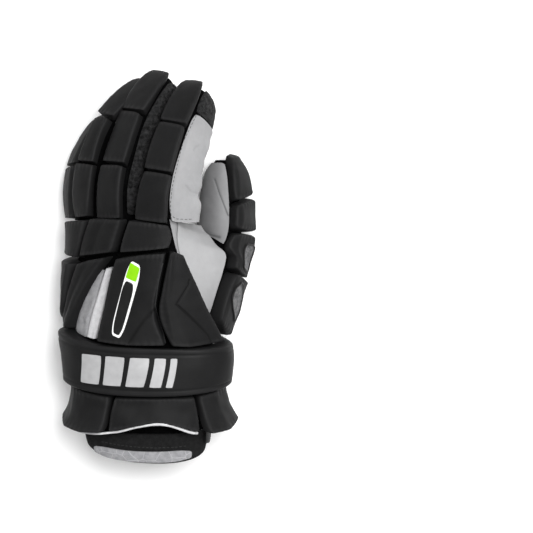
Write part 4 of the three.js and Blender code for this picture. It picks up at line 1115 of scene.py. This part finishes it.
def palmWeb():
    # leather stretched from the side of the hand (angle and share) to the thumb (angle and share)
    look = {"rows": [[2, 0.60, 112, 0.10], [4.5, 0.70, 112, 0.23], [6, 0.77, 110, 0.33], [8, 0.85, 112, 0.42],
                     [6, 0.91, 122, 0.462], [0, 0.955, 158, 0.505], [-8, 0.992, 198, 0.62]],
            "lifts": (1.0, 2.4), "thick": 1.6, "sag": (2.5, 6.5), "waves": 0.5}
    u, v = np.meshgrid(np.linspace(0, 1, 60), np.linspace(0, 1, 110))
    handAngle, handAt, thumbAngle, thumbAt = curveValue(spaced(look["rows"]), v[:, 0]).T
    start = handSkin(handAngle, handAt, look["lifts"][0])[:, None]
    end = skins["thumb"](thumbAngle, thumbAt, look["lifts"][1])[:, None]
    outer = start * (1 - u[..., None]) + end * u[..., None]
    low, high = look["sag"]
    outer[..., 2] += (look["waves"] * ripple(outer, 26, 4) - low - (high - low) * v ** 3) * np.sin(math.pi * u)
    inner = outer - np.array([0, 0, look["thick"]])
    return finishPiece(shell("palmWeb", outer, inner), webLeather, "palm_web")


palmWeb()
band = wristBand()
innerCuff()
cuffPiping()

# Plain marks: five slanted bars on the band, and one outlined bar on the back plate
bandTree = treeOf(band)
bars = {"angle": 137, "widths": [17, 14, 11, 8, 5], "gap": 3.4, "lean": 5.5, "from": 0.372, "to": 0.487}
angle = bars["angle"]
for k, width in enumerate(bars["widths"]):
    rows = [[angle - width, bars["from"], angle, bars["from"]],
            [angle - width - bars["lean"], bars["to"], angle - bars["lean"], bars["to"]]]
    obj, _ = laidPatch(f"bandBar{k + 1}", bandTree, "hand", rows, {"corner": 0.03, "from": 30, "high": 0.4})
    finishPiece(obj, silverPrint)
    angle -= width + bars["gap"]
plateTree = treeOf(bpy.data.objects["backPlate"])
overhead = 140


def platePatch(name, corners, material, height, corner):
    a, b, c, d = (np.append(layout(p), 0) for p in corners)
    u, v = unitGrid(np.linalg.norm(b - a), np.linalg.norm(d - a), 0.7)
    u, v = (x[..., None] for x in roundedCorner(u, v, corner))
    flat = (a * (1 - u) + b * u) * (1 - v) + (d * (1 - u) + c * u) * v
    flat[..., 2] = overhead
    outer, inner = laidOn(plateTree, flat, np.broadcast_to([0, 0, -1.0], flat.shape), -0.3, height)
    finishPiece(shell(name, outer, inner), material)


platePatch("patchEdge", [(111.5, 333), (123.5, 338.5), (144.5, 267), (131.5, 259.5)], whitePrint, 0.35, 0.16)
platePatch("patchGround", [(113.5, 331.5), (122.3, 335.5), (137, 284.5), (126.2, 279.5)], darkPrint, 0.5, 0.16)
platePatch("patchTop", [(127.4, 277.5), (137.9, 282), (142, 268.3), (132.4, 262.5)], limePrint, 0.5, 0.05)


def rayDown(tree, points):
    # lays flat points on what is below them
    flat = np.column_stack([points, np.full(len(points), overhead)])
    hits = [tree.ray_cast(Vector(p + shift), Vector((0, 0, -1)))[0] for p in flat]
    return np.array([hit for hit in hits if hit]) - shift


def alongLine(points, spacing):
    line = layout(points)
    run = runAlong(line)
    at = np.arange(0, run[-1], spacing)
    return np.stack([np.interp(at, run, line[:, k]) for k in range(2)], -1)


thread = {"step": 0.35, "length": 2.2, "pause": 1.5, "radius": 0.22, "lift": 0.05, "sides": 6}


def stitches(name, target, points):
    # a row of short threads, each a small tube
    step, radius, sides = thread["step"], thread["radius"], thread["sides"]
    track = rayDown(treeOf(bpy.data.objects[target]), alongLine(points, step))
    steps, skip = int(thread["length"] / step), int((thread["length"] + thread["pause"]) / step)
    verts, faces, count = [], [], 0
    for i in range(0, len(track) - steps, skip):
        part = track[i:i + steps + 1].copy()
        part[:, 2] += thread["lift"] + radius * 0.6 * np.sin(np.linspace(0, math.pi, len(part)))
        up = np.array([0, 0, 1.0])
        side = unit(np.cross(np.gradient(part, axis=0), up))
        verts.append(ringsRound(part, radius, side, up, sides).reshape(-1, 3))
        faces += tubeWalls(len(part), sides, count)
        end = count + (len(part) - 1) * sides
        for j in range(1, sides - 1):
            faces.append([count, count + j, count + j + 1, count + j + 1])
            faces.append([end, end + j + 1, end + j, end + j])
        count = end + sides
    return finishPiece(meshPiece(name, np.concatenate(verts), np.array(faces)), darkThread)


gussetSeam = [(197, 116), (191, 129), (184, 144), (180, 160), (176.5, 175), (173.5, 190), (172, 205),
              (172.5, 216), (177, 219.5), (186, 220), (196, 219.5)]
cuffSeam = [(102, 441), (118, 443.5), (135, 445.5), (155, 446.5), (175, 446), (190, 444.5)]
plateSide = [(164.5, 263), (160, 282), (156.5, 305), (158, 312), (163, 327), (166.5, 342)]
stitches("gussetStitches", "indexGusset", gussetSeam)
stitches("cuffStitches", "innerCuff", cuffSeam)
# the edge bead is lighter leather: a painted highlight along the plate's side
plateBead = {"step": 0.8, "radius": 0.7, "sides": 8}
plateTrack = rayDown(plateTree, alongLine(plateSide, plateBead["step"]))
finishPiece(tubeAlong("plateEdge", plateTrack, plateBead["radius"], plateBead["sides"]), edgeHighlightLeather)
print("stage 6: shells, band, cuff and piping")

# Stage: pale floor, soft light, camera straight above
studio = {
    "floor": 6.0, "floorDark": grey(0.90, 0.90), "floorLight": grey(0.92, 0.92), "floorGlow": 0.12, "world": 0.37,
    "lens": 200, "frameWidth": 0.45305, "aim": (0.0932, 0.0001, 0.05), "lightAim": (0, 0, 0.03),
    "lights": {  # place, size and power
        "keyLight": ((0.5, 0.35, 1.75), 1.1, 46),
        "fillLight": ((-1.0, 0.6, 1.3), 0.9, 5),
        "lowLight": ((0.9, -0.9, 1.0), 0.8, 3),
    },
}


def addToScene(name, data):
    obj = bpy.data.objects.new(name, data)
    bpy.context.scene.collection.objects.link(obj)
    return obj


def makeStudio():
    mesh = bpy.data.meshes.new("floor")
    s = studio["floor"] / 2
    mesh.from_pydata([(-s, -s, 0), (s, -s, 0), (s, s, 0), (-s, s, 0)], [], [(0, 1, 2, 3)])
    floor = addToScene("floor", mesh)
    material, tree, shader = baseMaterial("floorPaper", 0.9, 0.1)
    noise = addNode(tree, "ShaderNodeTexNoise", Scale=3.0)
    paper = mixColour(tree, noise.outputs["Fac"], studio["floorDark"], studio["floorLight"])
    tree.links.new(paper, shader.inputs["Base Color"])
    setInputs(shader, {"Emission Color": (1, 1, 1, 1), "Emission Strength": studio["floorGlow"]})
    mesh.materials.append(material)
    world = bpy.data.worlds.new("studioWorld")
    world.use_nodes = True
    setInputs(world.node_tree.nodes["Background"], {"Color": (1, 1, 1, 1), "Strength": studio["world"]})
    bpy.context.scene.world = world
    for name, (place, size, power) in studio["lights"].items():
        lamp = bpy.data.lights.new(name, "AREA")
        lamp.size, lamp.energy = size, power
        obj = addToScene(name, lamp)
        obj.location = place
        obj.rotation_euler = (Vector(studio["lightAim"]) - Vector(place)).to_track_quat("-Z", "Y").to_euler()
    camera = bpy.data.cameras.new("camera")
    camera.lens = studio["lens"]
    obj = addToScene("camera", camera)
    x, y, z = studio["aim"]
    obj.location = (x, y, z + studio["frameWidth"] * studio["lens"] / camera.sensor_width)
    bpy.context.scene.camera = obj
    bpy.context.scene.view_settings.view_transform = "Standard"


makeStudio()
